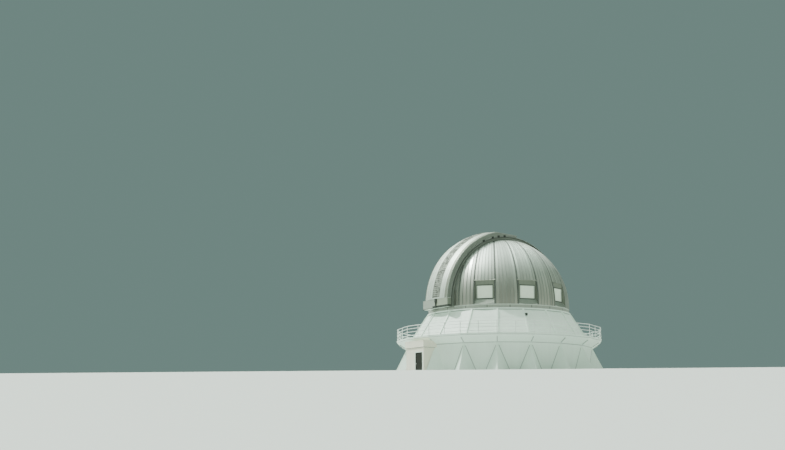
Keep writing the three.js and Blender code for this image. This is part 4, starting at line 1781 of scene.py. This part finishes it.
    def sides(self) -> None:
        """Sets the flanges and the ribs of the shutter's sides."""
        x, foot = self.half_width, self.side_foot + 0.004
        low, high = self.low + 0.2, self.high - 0.2
        lines = [upright_arc(foot, side * (x + 0.012), low, high) for side in (1, -1)]
        self.sweep("shutter_foot_flanges", lines, self.foot_flange, GIRDER_LIT)
        ribs = []
        for side in (1, -1):
            for number in range(self.ribs):
                angle = self.rib_first + self.rib_step * number
                ends = (foot + 0.024, self.rho(x, angle, self.skin + 0.01))
                points = [with_dome(over_the_top(r, angle, side * x)) for r in ends]
                ribs.append(Path(points, [with_dome((side, 0, 0))] * 2))
        self.sweep("shutter_side_ribs", ribs, self.rib, GIRDER)

    def nose_front(self, x: float) -> float:
        """Where the nose's front face lies, at a place across it."""
        return -self.nose_tip + (self.nose_tip - self.nose_side) * abs(x) / self.nose_half

    def nose(self) -> None:
        """Dresses the front of the wedge at the shutter's foot.

        Each band runs across the front from one place to another, between two heights over the
        nose's foot, and stands out by the last number. The dark foot seal, also a real seal, and the shadow
        board above it paint the shadow under the nose's edge.
        """
        half, foot = self.nose_half, self.nose_foot
        head = DOME_CENTRE + self.nose_side * math.tan(math.radians(self.low)) - 0.051
        corners = Draft()
        for x in (0.012 - half, half - 0.012):
            low = (x - 0.014, -self.nose_side - 0.010, foot + 0.06)
            corners.block(low, (x + 0.014, -self.nose_side + 0.04, head))
        mesh = corners.turned(DOME_TURN).mesh("nose_corner_trims", 0.003)
        self.piece(mesh, SEAM)
        for name, start, end, low, high, finish, out in (
            ("nose_foot_seal", -half, half, 0.0, 0.045, DARK, 0.012),
            ("nose_shadow_board", -0.3, half, 0.045, 0.185, DARK, 0.012),
            ("nose_head_flashing", -half, half, 0.745, 0.785, SEAM, 0.008),
            ("nose_plate_left", 0.03 - half, -0.01, 0.047, 0.743, NOSE_LEFT, 0.006),
            ("nose_plate_right", 0.01, half - 0.03, 0.187, 0.743, NOSE_RIGHT, 0.006),
        ):
            xs = sorted({start, min(max(start, 0.0), end), end})
            front = [(x, self.nose_front(x) - out, foot + low) for x in xs]
            back = [(x, self.nose_front(x) + 0.02, foot + low) for x in reversed(xs)]
            band = Draft()
            band.prism(front + back, (0, 0, high - low))
            self.piece(band.turned(DOME_TURN).mesh(name), finish)

    def nose_ends(self) -> None:
        """Dresses the two ends of the wedge: dark boards of painted shadow along their feet, and plates
        above.
        """
        half, foot = self.nose_half, self.nose_foot
        for name, low, high, finish, out in (
            ("nose_end_boards", 0.0, 0.185, DARK, 0.012),
            ("nose_end_plates", 0.187, 0.743, BAY_SHEET, 0.006),
        ):
            ends = Draft()
            for inner, outer in ((half - 0.02, half + out), (-half - out, 0.02 - half)):
                ends.block((inner, -self.nose_side, foot + low), (outer, -self.nose_back, foot + high))
            self.piece(ends.turned(DOME_TURN).mesh(name), finish)

    def latch(self) -> None:
        """Hangs the dark latch on the nose's ridge."""
        latch = Draft()
        for (x0, y0, z0), (x1, y1, z1) in self.latch_blocks:
            latch.block((x0, y0 - self.nose_tip, z0), (x1, y1 - self.nose_tip, z1))
        self.piece(latch.turned(DOME_TURN).mesh("nose_latch", 0.008), DARK)

    def brackets(self) -> None:
        """Hangs the dark roller brackets below the sides near the crown."""
        bracket = Draft()
        bracket.blocks(*self.bracket_blocks)
        spots = []
        for side in (1, -1):
            for angle in self.bracket_angles:
                place = with_dome(over_the_top(self.bracket_r, angle, side * self.half_width))
                spots.append(Spot(place, with_dome((side, 0, 0)), with_dome(way_over_the_top(angle))))
        self.copies("shutter_roller_brackets", bracket, spots, DARK, bevel=0.006)


# The building


@dataclass
class Skirt(SubAssembly):
    """The flaring skirt: caps on its ribs, joints and laps of its sheets, a strip of painted shadow in its
    head's recess, and a lamp.
    """

    body: str = "building"
    foot_r: float = 7.87
    head_r: float = 6.39
    foot_z: float = 3.4803
    head_z: float = 5.76
    step_z: float = 5.67
    rib_proud: float = 0.07
    cap: Bar = Bar(0.15, 0.014)
    joint: Bar = Bar(0.02, 0.008, -0.002)
    joint_off: float = 3.4  # degrees from the middle of a side
    lap_heights: Pair = (4.25, 5.0)
    recess: Bar = Bar(0.088, 0.006, -0.004)
    recess_depth: float = 0.025
    recess_middle: float = 5.715
    flashing: Bar = Bar(0.055, 0.014, -0.004)
    lamp_azimuth: float = 20.0
    lamp_height: float = 5.2
    lamp_lean: float = 0.25
    lamp_blocks: tuple[tuple[Point, Point], ...] = (
        ((-0.05, -0.05, -0.03), (0.05, 0.05, 0.05)),
        ((-0.09, -0.10, 0.045), (0.09, 0.10, 0.17)),
        ((-0.11, 0.08, 0.03), (0.11, 0.105, 0.20)),
    )

    def radius(self, z: float) -> float:
        """The corner radius of the skirt's plan at a height."""
        return self.foot_r - (z - self.foot_z) * (self.foot_r - self.head_r) / (self.head_z - self.foot_z)

    def slope(self, azimuth: float) -> Point:
        """Finds the way that the skirt faces.

        Args:
            azimuth: the place round it.

        Returns:
            The way, upwards and outwards.
        """
        lean = math.atan2(self.foot_r - self.head_r, self.head_z - self.foot_z)
        x, y, _ = on_plan(math.cos(lean), azimuth)
        return (x, y, math.sin(lean))

    def build(self) -> None:
        """Makes the skirt's trims."""
        caps, joints = [], []
        rib_ends = (self.foot_z + 0.03, self.head_z - 0.02)
        sheet_ends = (self.foot_z + 0.02, self.step_z - 0.02)
        out = self.rib_proud - 0.004
        for side in range(SIDES):
            corner = corner_azimuth(side)
            middle = corner + BAY / 2
            line = [on_plan(self.radius(z) + out, corner, z) for z in rib_ends]
            caps.append(Path(line, [self.slope(corner)] * 2))
            for azimuth in (middle - self.joint_off, middle + self.joint_off):
                line = [wall_point(self.radius(z), azimuth, z) for z in sheet_ends]
                joints.append(Path(line, [self.slope(middle)] * 2))
        laps = [sided_loop(self.radius(z) + 0.001, z) for z in self.lap_heights]
        # a grey strip in the recess under the track ring's lip: painted shadow
        recess = [sided_loop(self.head_r - self.recess_depth, self.recess_middle)]
        foot = [sided_loop(self.foot_r + 0.002, self.foot_z + 0.03)]
        for name, paths, bar, finish in (
            ("skirt_rib_caps", caps, self.cap, TRIM_WHITE),
            ("skirt_sheet_joints", joints, self.joint, TRIM_WHITE),
            ("skirt_sheet_laps", laps, self.joint, TRIM_WHITE),
            ("skirt_head_recess", recess, self.recess, SHADE),
            ("skirt_foot_flashing", foot, self.flashing, TRIM_WHITE),
        ):
            self.sweep(name, paths, bar, finish)
        self.lamp()

    def lamp(self) -> None:
        """Hangs a small lamp on one rib."""
        lamp = Draft()
        lamp.blocks(*self.lamp_blocks)
        z = self.lamp_height
        place = on_plan(self.radius(z) + self.rib_proud + 0.005, self.lamp_azimuth, z)
        x, y, _ = on_plan(1.0, self.lamp_azimuth)
        spot = Spot(place, (x, y, self.lamp_lean), (-y, x, 0))
        self.copies("skirt_lamp", lamp, [spot], DARK, bevel=0.006)


@dataclass
class Balcony(SubAssembly):
    """The balcony's tube railing, the trims of its deck, grey trims of painted shade at the cove's foot and
    head, and the brackets under the cove.

    A trim is given by its name, its radius at the plan's corners, its height and its bar.
    """

    body: str = "building"
    floor_z: float = 3.4803
    rail_r: float = 9.11
    heights: tuple[float, ...] = (3.66, 3.96, 4.24, 4.495)
    tube: Bar = Bar(0.05, section=Section.ROUND)
    post: float = 0.027
    post_foot: float = 0.058
    clamp: float = 0.033
    clamp_reach: float = 0.035
    cove: tuple[Pair, Pair] = ((8.30, 2.76), (9.17, 3.34))
    bracket_ends: Pair = (2.80, 3.17)
    bracket_half: float = 0.035
    deck_trims: tuple[tuple[str, float, float, Bar], ...] = (
        ("deck_edge_flashing", 9.168, 3.462, Bar(0.034, 0.012)),
        ("deck_drip_edge", 9.168, 3.352, Bar(0.024, 0.010)),
    )
    # grey lines of painted shade: on the wall under the cove's foot, and under the deck's edge at the cove's
    # head
    cove_shade_trims: tuple[tuple[str, float, float, Bar], ...] = (
        ("wall_head_trim", 8.304, 2.725, Bar(0.05, 0.016, -0.004)),
        ("cove_head_trim", 9.158, 3.325, Bar(0.035, 0.016, -0.004)),
    )

    def build(self) -> None:
        """Makes the balcony's pieces."""
        self.railing()
        for name, radius, z, bar in self.deck_trims:
            self.sweep(name, [sided_loop(radius, z)], bar, TRIM_WHITE)
        self.brackets()
        for name, radius, z, bar in self.cove_shade_trims:
            self.sweep(name, [sided_loop(radius, z)], bar, SHADE)

    def railing(self) -> None:
        """Makes the railing: level tubes, and a post on each corner and halfway along each side."""
        loops = [sided_loop(self.rail_r, z) for z in self.heights]
        nodes = ("balcony_railing_1", "balcony_railing_2", "balcony_railing_3")
        self.sweep("railing_tubes", loops, self.tube, RAIL_WHITE, nodes, smooth=50)
        halfway = self.rail_r * math.cos(HALF_BAY)
        posts = Draft()
        for side in range(SIDES):
            self.add_post(posts, self.rail_r, corner_azimuth(side))
            self.add_post(posts, halfway, corner_azimuth(side) + BAY / 2)
        self.piece(posts.mesh("railing_posts"), RAIL_WHITE, smooth=40)

    def add_post(self, draft: Draft, radius: float, azimuth: float) -> None:
        """Adds a post, its round foot, and a clamp at each tube but the highest.

        Args:
            draft: what they are added to.
            radius: how far out the post stands.
            azimuth: where it stands round the balcony.
        """
        foot, head = self.floor_z, self.heights[-1]
        rods = [(foot + 0.008, head, self.post, 10), (foot, foot + 0.014, self.post_foot, 12)]
        rods += [(z - self.clamp_reach, z + self.clamp_reach, self.clamp, 10) for z in self.heights[:-1]]
        for low, high, thick, sides in rods:
            draft.rod(on_plan(radius, azimuth, low), on_plan(radius, azimuth, high), thick, sides)

    def cove_radius(self, z: float) -> float:
        """The corner radius of the cove at a height."""
        (low_r, low_z), (high_r, high_z) = self.cove
        return low_r + (high_r - low_r) * (z - low_z) / (high_z - low_z)

    def brackets(self) -> None:
        """Sets a thin bracket on each corner under the cove, in grey that paints the shade on its side."""
        low, high = self.bracket_ends
        inner, outer = (self.cove_radius(z) - 0.03 for z in self.bracket_ends)
        outline = [(inner, low), (inner + 0.07, low - 0.03), (outer + 0.09, high - 0.04), (outer, high)]
        bracket, brackets = Draft(), Draft()
        bracket.prism([(-self.bracket_half, -r, z) for r, z in outline], (2 * self.bracket_half, 0, 0))
        for side in range(SIDES):
            brackets.take(bracket, corner_azimuth(side))
        self.piece(brackets.mesh("cove_corner_brackets", 0.004), SHADE)


@dataclass
class Walls(SubAssembly):
    """Sheet joints of the round wall, trims on the ridges of its splayed buttresses, and grey trims of
    painted shade on their hips.
    """

    body: str = "building"
    corner_r: float = 8.30
    foot_r: float = 9.70
    apex_r: float = 8.28
    apex_z: float = 2.7597
    half_width: float = 1.18
    joint: Bar = Bar(0.02, 0.008, -0.002)
    joint_ends: Pair = (0.02, 2.72)
    ridge: Bar = Bar(0.07, 0.010, -0.002)
    ridge_ends: Pair = (0.04, 2.50)
    ridge_rise: float = 0.4
    hip: Bar = Bar(0.06, 0.014, -0.004)
    hip_ends: Pair = (0.03, 0.90)  # as shares of its length
    side_room: float = 9.0  # degrees beside the entrance where a side has no joint
    corner_room: float = 11.0  # degrees beside the entrance where a corner has no buttress

    def behind_entry(self, azimuth: float, room: float) -> bool:
        """Whether an azimuth lies behind the entrance block."""
        return abs((azimuth - ENTRY_TURN + 180) % 360 - 180) < room

    def build(self) -> None:
        """Makes the trims."""
        ridges, hips, joints = [], [], []
        low, high = self.ridge_ends
        for side in range(SIDES):
            corner = corner_azimuth(side)
            middle = corner + BAY / 2
            if not self.behind_entry(middle, self.side_room):
                line = [wall_point(self.corner_r, middle, z) for z in self.joint_ends]
                joints.append(Path(line, [on_plan(1.0, middle)] * 2))
            if not self.behind_entry(corner, self.corner_room):
                x, y, _ = on_plan(1.0, corner)
                line = [on_plan(self.foot_r - 0.02, corner, low), on_plan(self.apex_r + 0.10, corner, high)]
                ridges.append(Path(line, [(x, y, self.ridge_rise)] * 2))
                hips += [self.hip_line(corner, way) for way in (1, -1)]
        self.sweep("buttress_ridges", ridges, self.ridge, TRIM_WHITE)
        # the hips are painted grey as the shade in the crease between buttress and wall
        self.sweep("buttress_hips", hips, self.hip, SHADE)
        self.sweep("wall_sheet_joints", joints, self.joint, TRIM_WHITE)

    def hip_line(self, corner: float, way: int) -> Path:
        """Draws the line where a buttress meets the wall.

        Args:
            corner: the buttress's azimuth.
            way: 1 for its right side and -1 for its left one.

        Returns:
            The line.
        """
        points = []
        for share in self.hip_ends:
            x = way * self.half_width * math.cos(HALF_BAY) * (1 - share)
            # on the wall's flat side beside this corner, drawn with the corner at azimuth 0
            y = abs(x) * math.tan(HALF_BAY) - self.corner_r
            points.append((x, y, self.apex_z * share))
        turned = [tuple(p) for p in turn_about_axis(points, corner)]
        return Path(turned, [on_plan(1.0, corner + way * BAY / 2)] * 2)


@dataclass
class Entrance(SubAssembly):
    """The edges of the entrance block's roof, and its door frame."""

    body: str = "building"
    front: float = -9.56
    half_width: float = 1.2
    wall_top: float = 2.47
    roof_top: float = 3.03
    eave: float = 0.07
    coping_backs: Pair = (-8.56, -8.64)  # where it ends at the left and at the right
    shadow_backs: Pair = (-8.15, -8.23)
    casing: float = 0.07
    hinge_gap: float = 0.016

    def build(self) -> None:
        """Makes the entrance's pieces."""
        self.edges()
        self.frame()

    def band(self, out: float, thick: float, backs: Pair, low: float, high: float) -> Draft:
        """Draws a band round the front and the sides of the block.

        Args:
            out: how far outside the walls its face stands.
            thick: its thickness.
            backs: where it ends on the left side and on the right one.
            low: the height of its foot.
            high: the height of its head.

        Returns:
            The band, turned with the block.
        """
        x, y = self.half_width + out, self.front - out
        draft = Draft()
        draft.blocks(
            ((-x, y, low), (x, y + thick, high)),
            ((-x, y, low), (thick - x, backs[0], high)),
            ((x - thick, y, low), (x, backs[1], high)),
        )
        return draft.turned(ENTRY_TURN)

    def edges(self) -> None:
        """Lays the coping on the parapet, and a dark band of painted shadow under the roof's edge."""
        low, high = self.roof_top - 0.07, self.roof_top + 0.012
        coping = self.band(self.eave + 0.012, 0.032, self.coping_backs, low, high)
        self.piece(coping.mesh("entry_coping", 0.004), RENDER)
        shadow = self.band(0.006, 0.02, self.shadow_backs, self.wall_top - 0.035, self.wall_top)
        self.piece(shadow.mesh("entry_shadow_gap"), PAINTED_SHADOW)

    def frame(self) -> None:
        """Sets the frame round the door's opening, and the threshold plate."""
        left, right, top = DOORWAY
        jamb, head = right + self.hinge_gap, top + self.casing
        y0, y1 = self.front - 0.014, self.front + 0.004
        casing, plate = Draft(), Draft()
        casing.blocks(
            ((left - self.casing, y0, 0.0), (left, y1, head)),
            ((jamb, y0, 0.0), (jamb + self.casing, y1, head)),
            ((left, y0, top), (jamb, y1, head)),
        )
        self.piece(casing.turned(ENTRY_TURN).mesh("door_frame", 0.003), TRIM_WHITE)
        plate.block((left + 0.002, self.front, 0.0985), (right - 0.002, self.front + 0.16, 0.1035))
        self.piece(plate.turned(ENTRY_TURN).mesh("door_threshold", 0.0015), STEEL)


@dataclass
class DoorLeaf(SubAssembly):
    """What is fixed to the leaf of the entrance's door."""

    body: str = "door"
    faces: Pair = (-9.55, -9.50)  # outer and inner
    panels: tuple[Pair, ...] = ((0.34, 0.98), (1.20, 1.91))
    panel_inset: float = 0.10
    moulding: float = 0.03
    handle_in: float = 0.075
    handle_height: float = 1.09

    def build(self) -> None:
        """Makes the leaf's mouldings and fittings."""
        self.mouldings()
        self.fittings()

    def mouldings(self) -> None:
        """Sets two raised frames on each face of the leaf."""
        left, right, _ = DOORWAY
        outer, inner = self.faces
        x0, x1, wide = left + self.panel_inset, right - self.panel_inset, self.moulding
        draft = Draft()
        for z0, z1 in self.panels:
            for y0, y1 in ((outer - 0.006, outer + 0.002), (inner - 0.002, inner + 0.006)):
                draft.blocks(
                    ((x0, y0, z0), (x1, y1, z0 + wide)),
                    ((x0, y0, z1 - wide), (x1, y1, z1)),
                    ((x0, y0, z0 + wide), (x0 + wide, y1, z1 - wide)),
                    ((x1 - wide, y0, z0 + wide), (x1, y1, z1 - wide)),
                )
        self.piece(draft.turned(ENTRY_TURN).mesh("door_mouldings", 0.002), DOOR)

    def fittings(self) -> None:
        """Sets a handle with its plate on each face of the leaf, and a kick plate on the outer one."""
        left, right, _ = DOORWAY
        outer, inner = self.faces
        x, z = left + self.handle_in, self.handle_height
        draft = Draft()
        for face, way in ((outer, -1), (inner, 1)):
            low, high = sorted((face - way * 0.002, face + way * 0.006))
            draft.block((x - 0.025, low, z - 0.11), (x + 0.025, high, z + 0.07))
            draft.rod((x, face, z), (x, face + way * 0.052, z), 0.010, 10)
            low, high = sorted((face + way * 0.040, face + way * 0.056))
            draft.block((x - 0.010, low, z - 0.01), (x + 0.12, high, z + 0.01))
        draft.block((left + 0.02, outer - 0.004, 0.12), (right - 0.03, outer + 0.002, 0.28))
        mesh = draft.turned(ENTRY_TURN).mesh("door_handle_and_kick_plate", 0.002)
        self.piece(mesh, STEEL)


# The studio


@dataclass
class Studio:
    """The floor, the light and the camera."""

    crest: float = -13.8  # where the floor begins to fall away in front of the building
    reach: float = 400.0
    fall: float = 0.12
    level: float = -0.002
    sky_rise: float = 0.33  # how far the light follows height, depth and width, along the sky's stops
    sky_depth: float = 0.13
    sky_across: float = 0.11
    sky: tuple[tuple[float, Colour], ...] = (
        (0.0, (0.44, 0.52, 0.42)),
        (0.655, (0.39, 0.51, 0.43)),
        (0.70, (0.84, 1.08, 0.95)),
        (0.758, (1.65, 2.00, 1.78)),
        (0.83, (3.40, 3.90, 3.50)),
    )
    backdrop: Colour = (0.155, 0.245, 0.222)  # what the camera sees in place of that light
    sun_azimuth: float = -103.0
    sun_height: float = 55.0
    sun_strength: float = 4.1
    sun_width: float = 3.0
    sun_colour: Colour = (0.955, 1.0, 0.94)
    camera_place: Point = (0.0, -149.1226, -9.7899)
    camera_turn: tuple[float, float, float] = (3.6463, 9.1081, -0.2)  # left, upwards and rolled
    picture_width: float = 785.0
    focal_pixels: float = 1668.0
    sensor: float = 36.0
    far: float = 2000.0

    def build(self) -> None:
        """Sets up the whole studio."""
        self.floor()
        self.world()
        self.sun()
        self.camera()

    def floor(self) -> None:
        """Lays a pale floor: level under the building, and falling away in front of a low crest."""
        r, crest, level = self.reach, self.crest, self.level
        low = level - self.fall * (r + crest)
        front = [(-r, -r, low), (r, -r, low), (r, crest, level), (-r, crest, level)]
        mesh = bpy.data.meshes.new("studio_floor")
        mesh.from_pydata([*front, (r, r, level), (-r, r, level)], [], [(0, 1, 2, 3), (3, 2, 4, 5)])
        mesh.materials.append(FLOOR.material())
        made = bpy.data.objects.new("studio_floor", mesh)
        bpy.context.scene.collection.objects.link(made)
        made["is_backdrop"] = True

    def world(self) -> None:
        """Lets soft grey-green light in from all round, brighter from above."""
        world = bpy.data.worlds.new("studio")
        bpy.context.scene.world = world
        world.use_nodes = True
        work = NodeWork(world.node_tree)
        shader = world.node_tree.nodes["Background"]
        across, depth, rise = work.split(work.value("ShaderNodeTexCoord", out="Generated"))
        height = rise * work.math("ABSOLUTE", rise)
        place = height * self.sky_rise + depth * self.sky_depth + 0.5 - across * self.sky_across
        ramp = work.node("ShaderNodeValToRGB", None, {0: place})
        elements = ramp.color_ramp.elements
        while len(elements) < len(self.sky):
            elements.new(0.5)
        for element, (stop, colour) in zip(elements, self.sky):
            element.position = stop
            element.color = (*colour, 1.0)
        seen = work.value("ShaderNodeLightPath", out="Is Camera Ray")
        light = work.mixed(seen, Value(work, ramp.outputs[0]), self.backdrop)
        work.feed(shader.inputs["Color"], light)
        shader.inputs["Strength"].default_value = 1.0

    def sun(self) -> None:
        """Adds one soft sun from the upper left."""
        data = bpy.data.lights.new("key", "SUN")
        data.energy, data.color = self.sun_strength, self.sun_colour
        data.angle = math.radians(self.sun_width)
        made = bpy.data.objects.new("key", data)
        height = math.radians(self.sun_height)
        x, y, _ = on_plan(math.cos(height), self.sun_azimuth)
        way = Vector((x, y, math.sin(height)))
        made.rotation_euler = way.to_track_quat("Z", "Y").to_euler()
        bpy.context.scene.collection.objects.link(made)

    def camera(self) -> None:
        """Sets the camera at the photograph's place and angle."""
        data = bpy.data.cameras.new("camera")
        data.sensor_width = self.sensor
        data.lens = self.sensor * self.focal_pixels / self.picture_width
        data.clip_end = self.far
        made = bpy.data.objects.new("camera", data)
        yaw, pitch, roll = (math.radians(v) for v in self.camera_turn)
        turn = Matrix.Rotation(yaw, 4, "Z") @ Matrix.Rotation(math.pi / 2 + pitch, 4, "X")
        turn = turn @ Matrix.Rotation(roll, 4, "Z")
        made.matrix_world = Matrix.Translation(self.camera_place) @ turn
        bpy.context.scene.collection.objects.link(made)
        bpy.context.scene.camera = made


# Everything in order

NODE_FINISHES = (
    ("ground_floor", CONCRETE),
    ("upper_floor", CONCRETE),
    ("wall_", WHITE),
    ("track_ring", TRIM_WHITE),
    ("entry_", RENDER),
    ("door_leaf", DOOR),
    ("balcony_deck_", WHITE),
    ("balcony_railing_", RAIL_WHITE),
    ("skirt_", SKIRT_WHITE),
    ("dome_base_ring", BAND),
    ("shell_", SHEET),
    ("girder_", GIRDER),
    ("vent_panel_", VENT),
    ("shutter_side_", GIRDER),
    ("shutter_nose", HOOD_SHEET),
    ("shutter_tail", GIRDER),
    ("shutter_skin", HOOD_SHEET),
)
SUB_ASSEMBLIES = (
    DomeHalves, BaseRing, VentBays, SlitGirders, Shutter, Skirt, Balcony, Walls, Entrance, DoorLeaf,
)


def dress_nodes() -> None:
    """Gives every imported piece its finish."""
    for name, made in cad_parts.items():
        finish = next(finish for start, finish in NODE_FINISHES if name.startswith(start))
        if not made.data.materials:
            made.data.materials.append(finish.material())
        for slot in made.material_slots:
            slot.material = finish.material()


def main() -> None:
    """Builds everything in order and measures how large it is before and after."""
    logging.basicConfig(level=logging.INFO, format="%(name)s: %(message)s")
    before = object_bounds()
    shop = Workshop()
    dress_nodes()
    for kind in SUB_ASSEMBLIES:
        part = kind(shop)
        part.build()
        for made in part.made:
            LOG.info("%s: %s with %d faces", kind.__name__, made.name, len(made.data.polygons))
    Studio().build()
    bpy.context.view_layer.update()
    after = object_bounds()
    {"before": plain(before), "after": plain(after)}


def plain(value: object) -> object:
    """Turns vectors and tuples into plain lists of numbers.

    Args:
        value: a number, a word, or a dict or sequence of them.

    Returns:
        The same value in plain dicts and lists.
    """
    if isinstance(value, dict):
        return {k: plain(v) for k, v in value.items()}
    if isinstance(value, (int, float, str, bool)) or value is None:
        return value
    return [plain(v) for v in value]


if __name__ == "__main__":
    main()
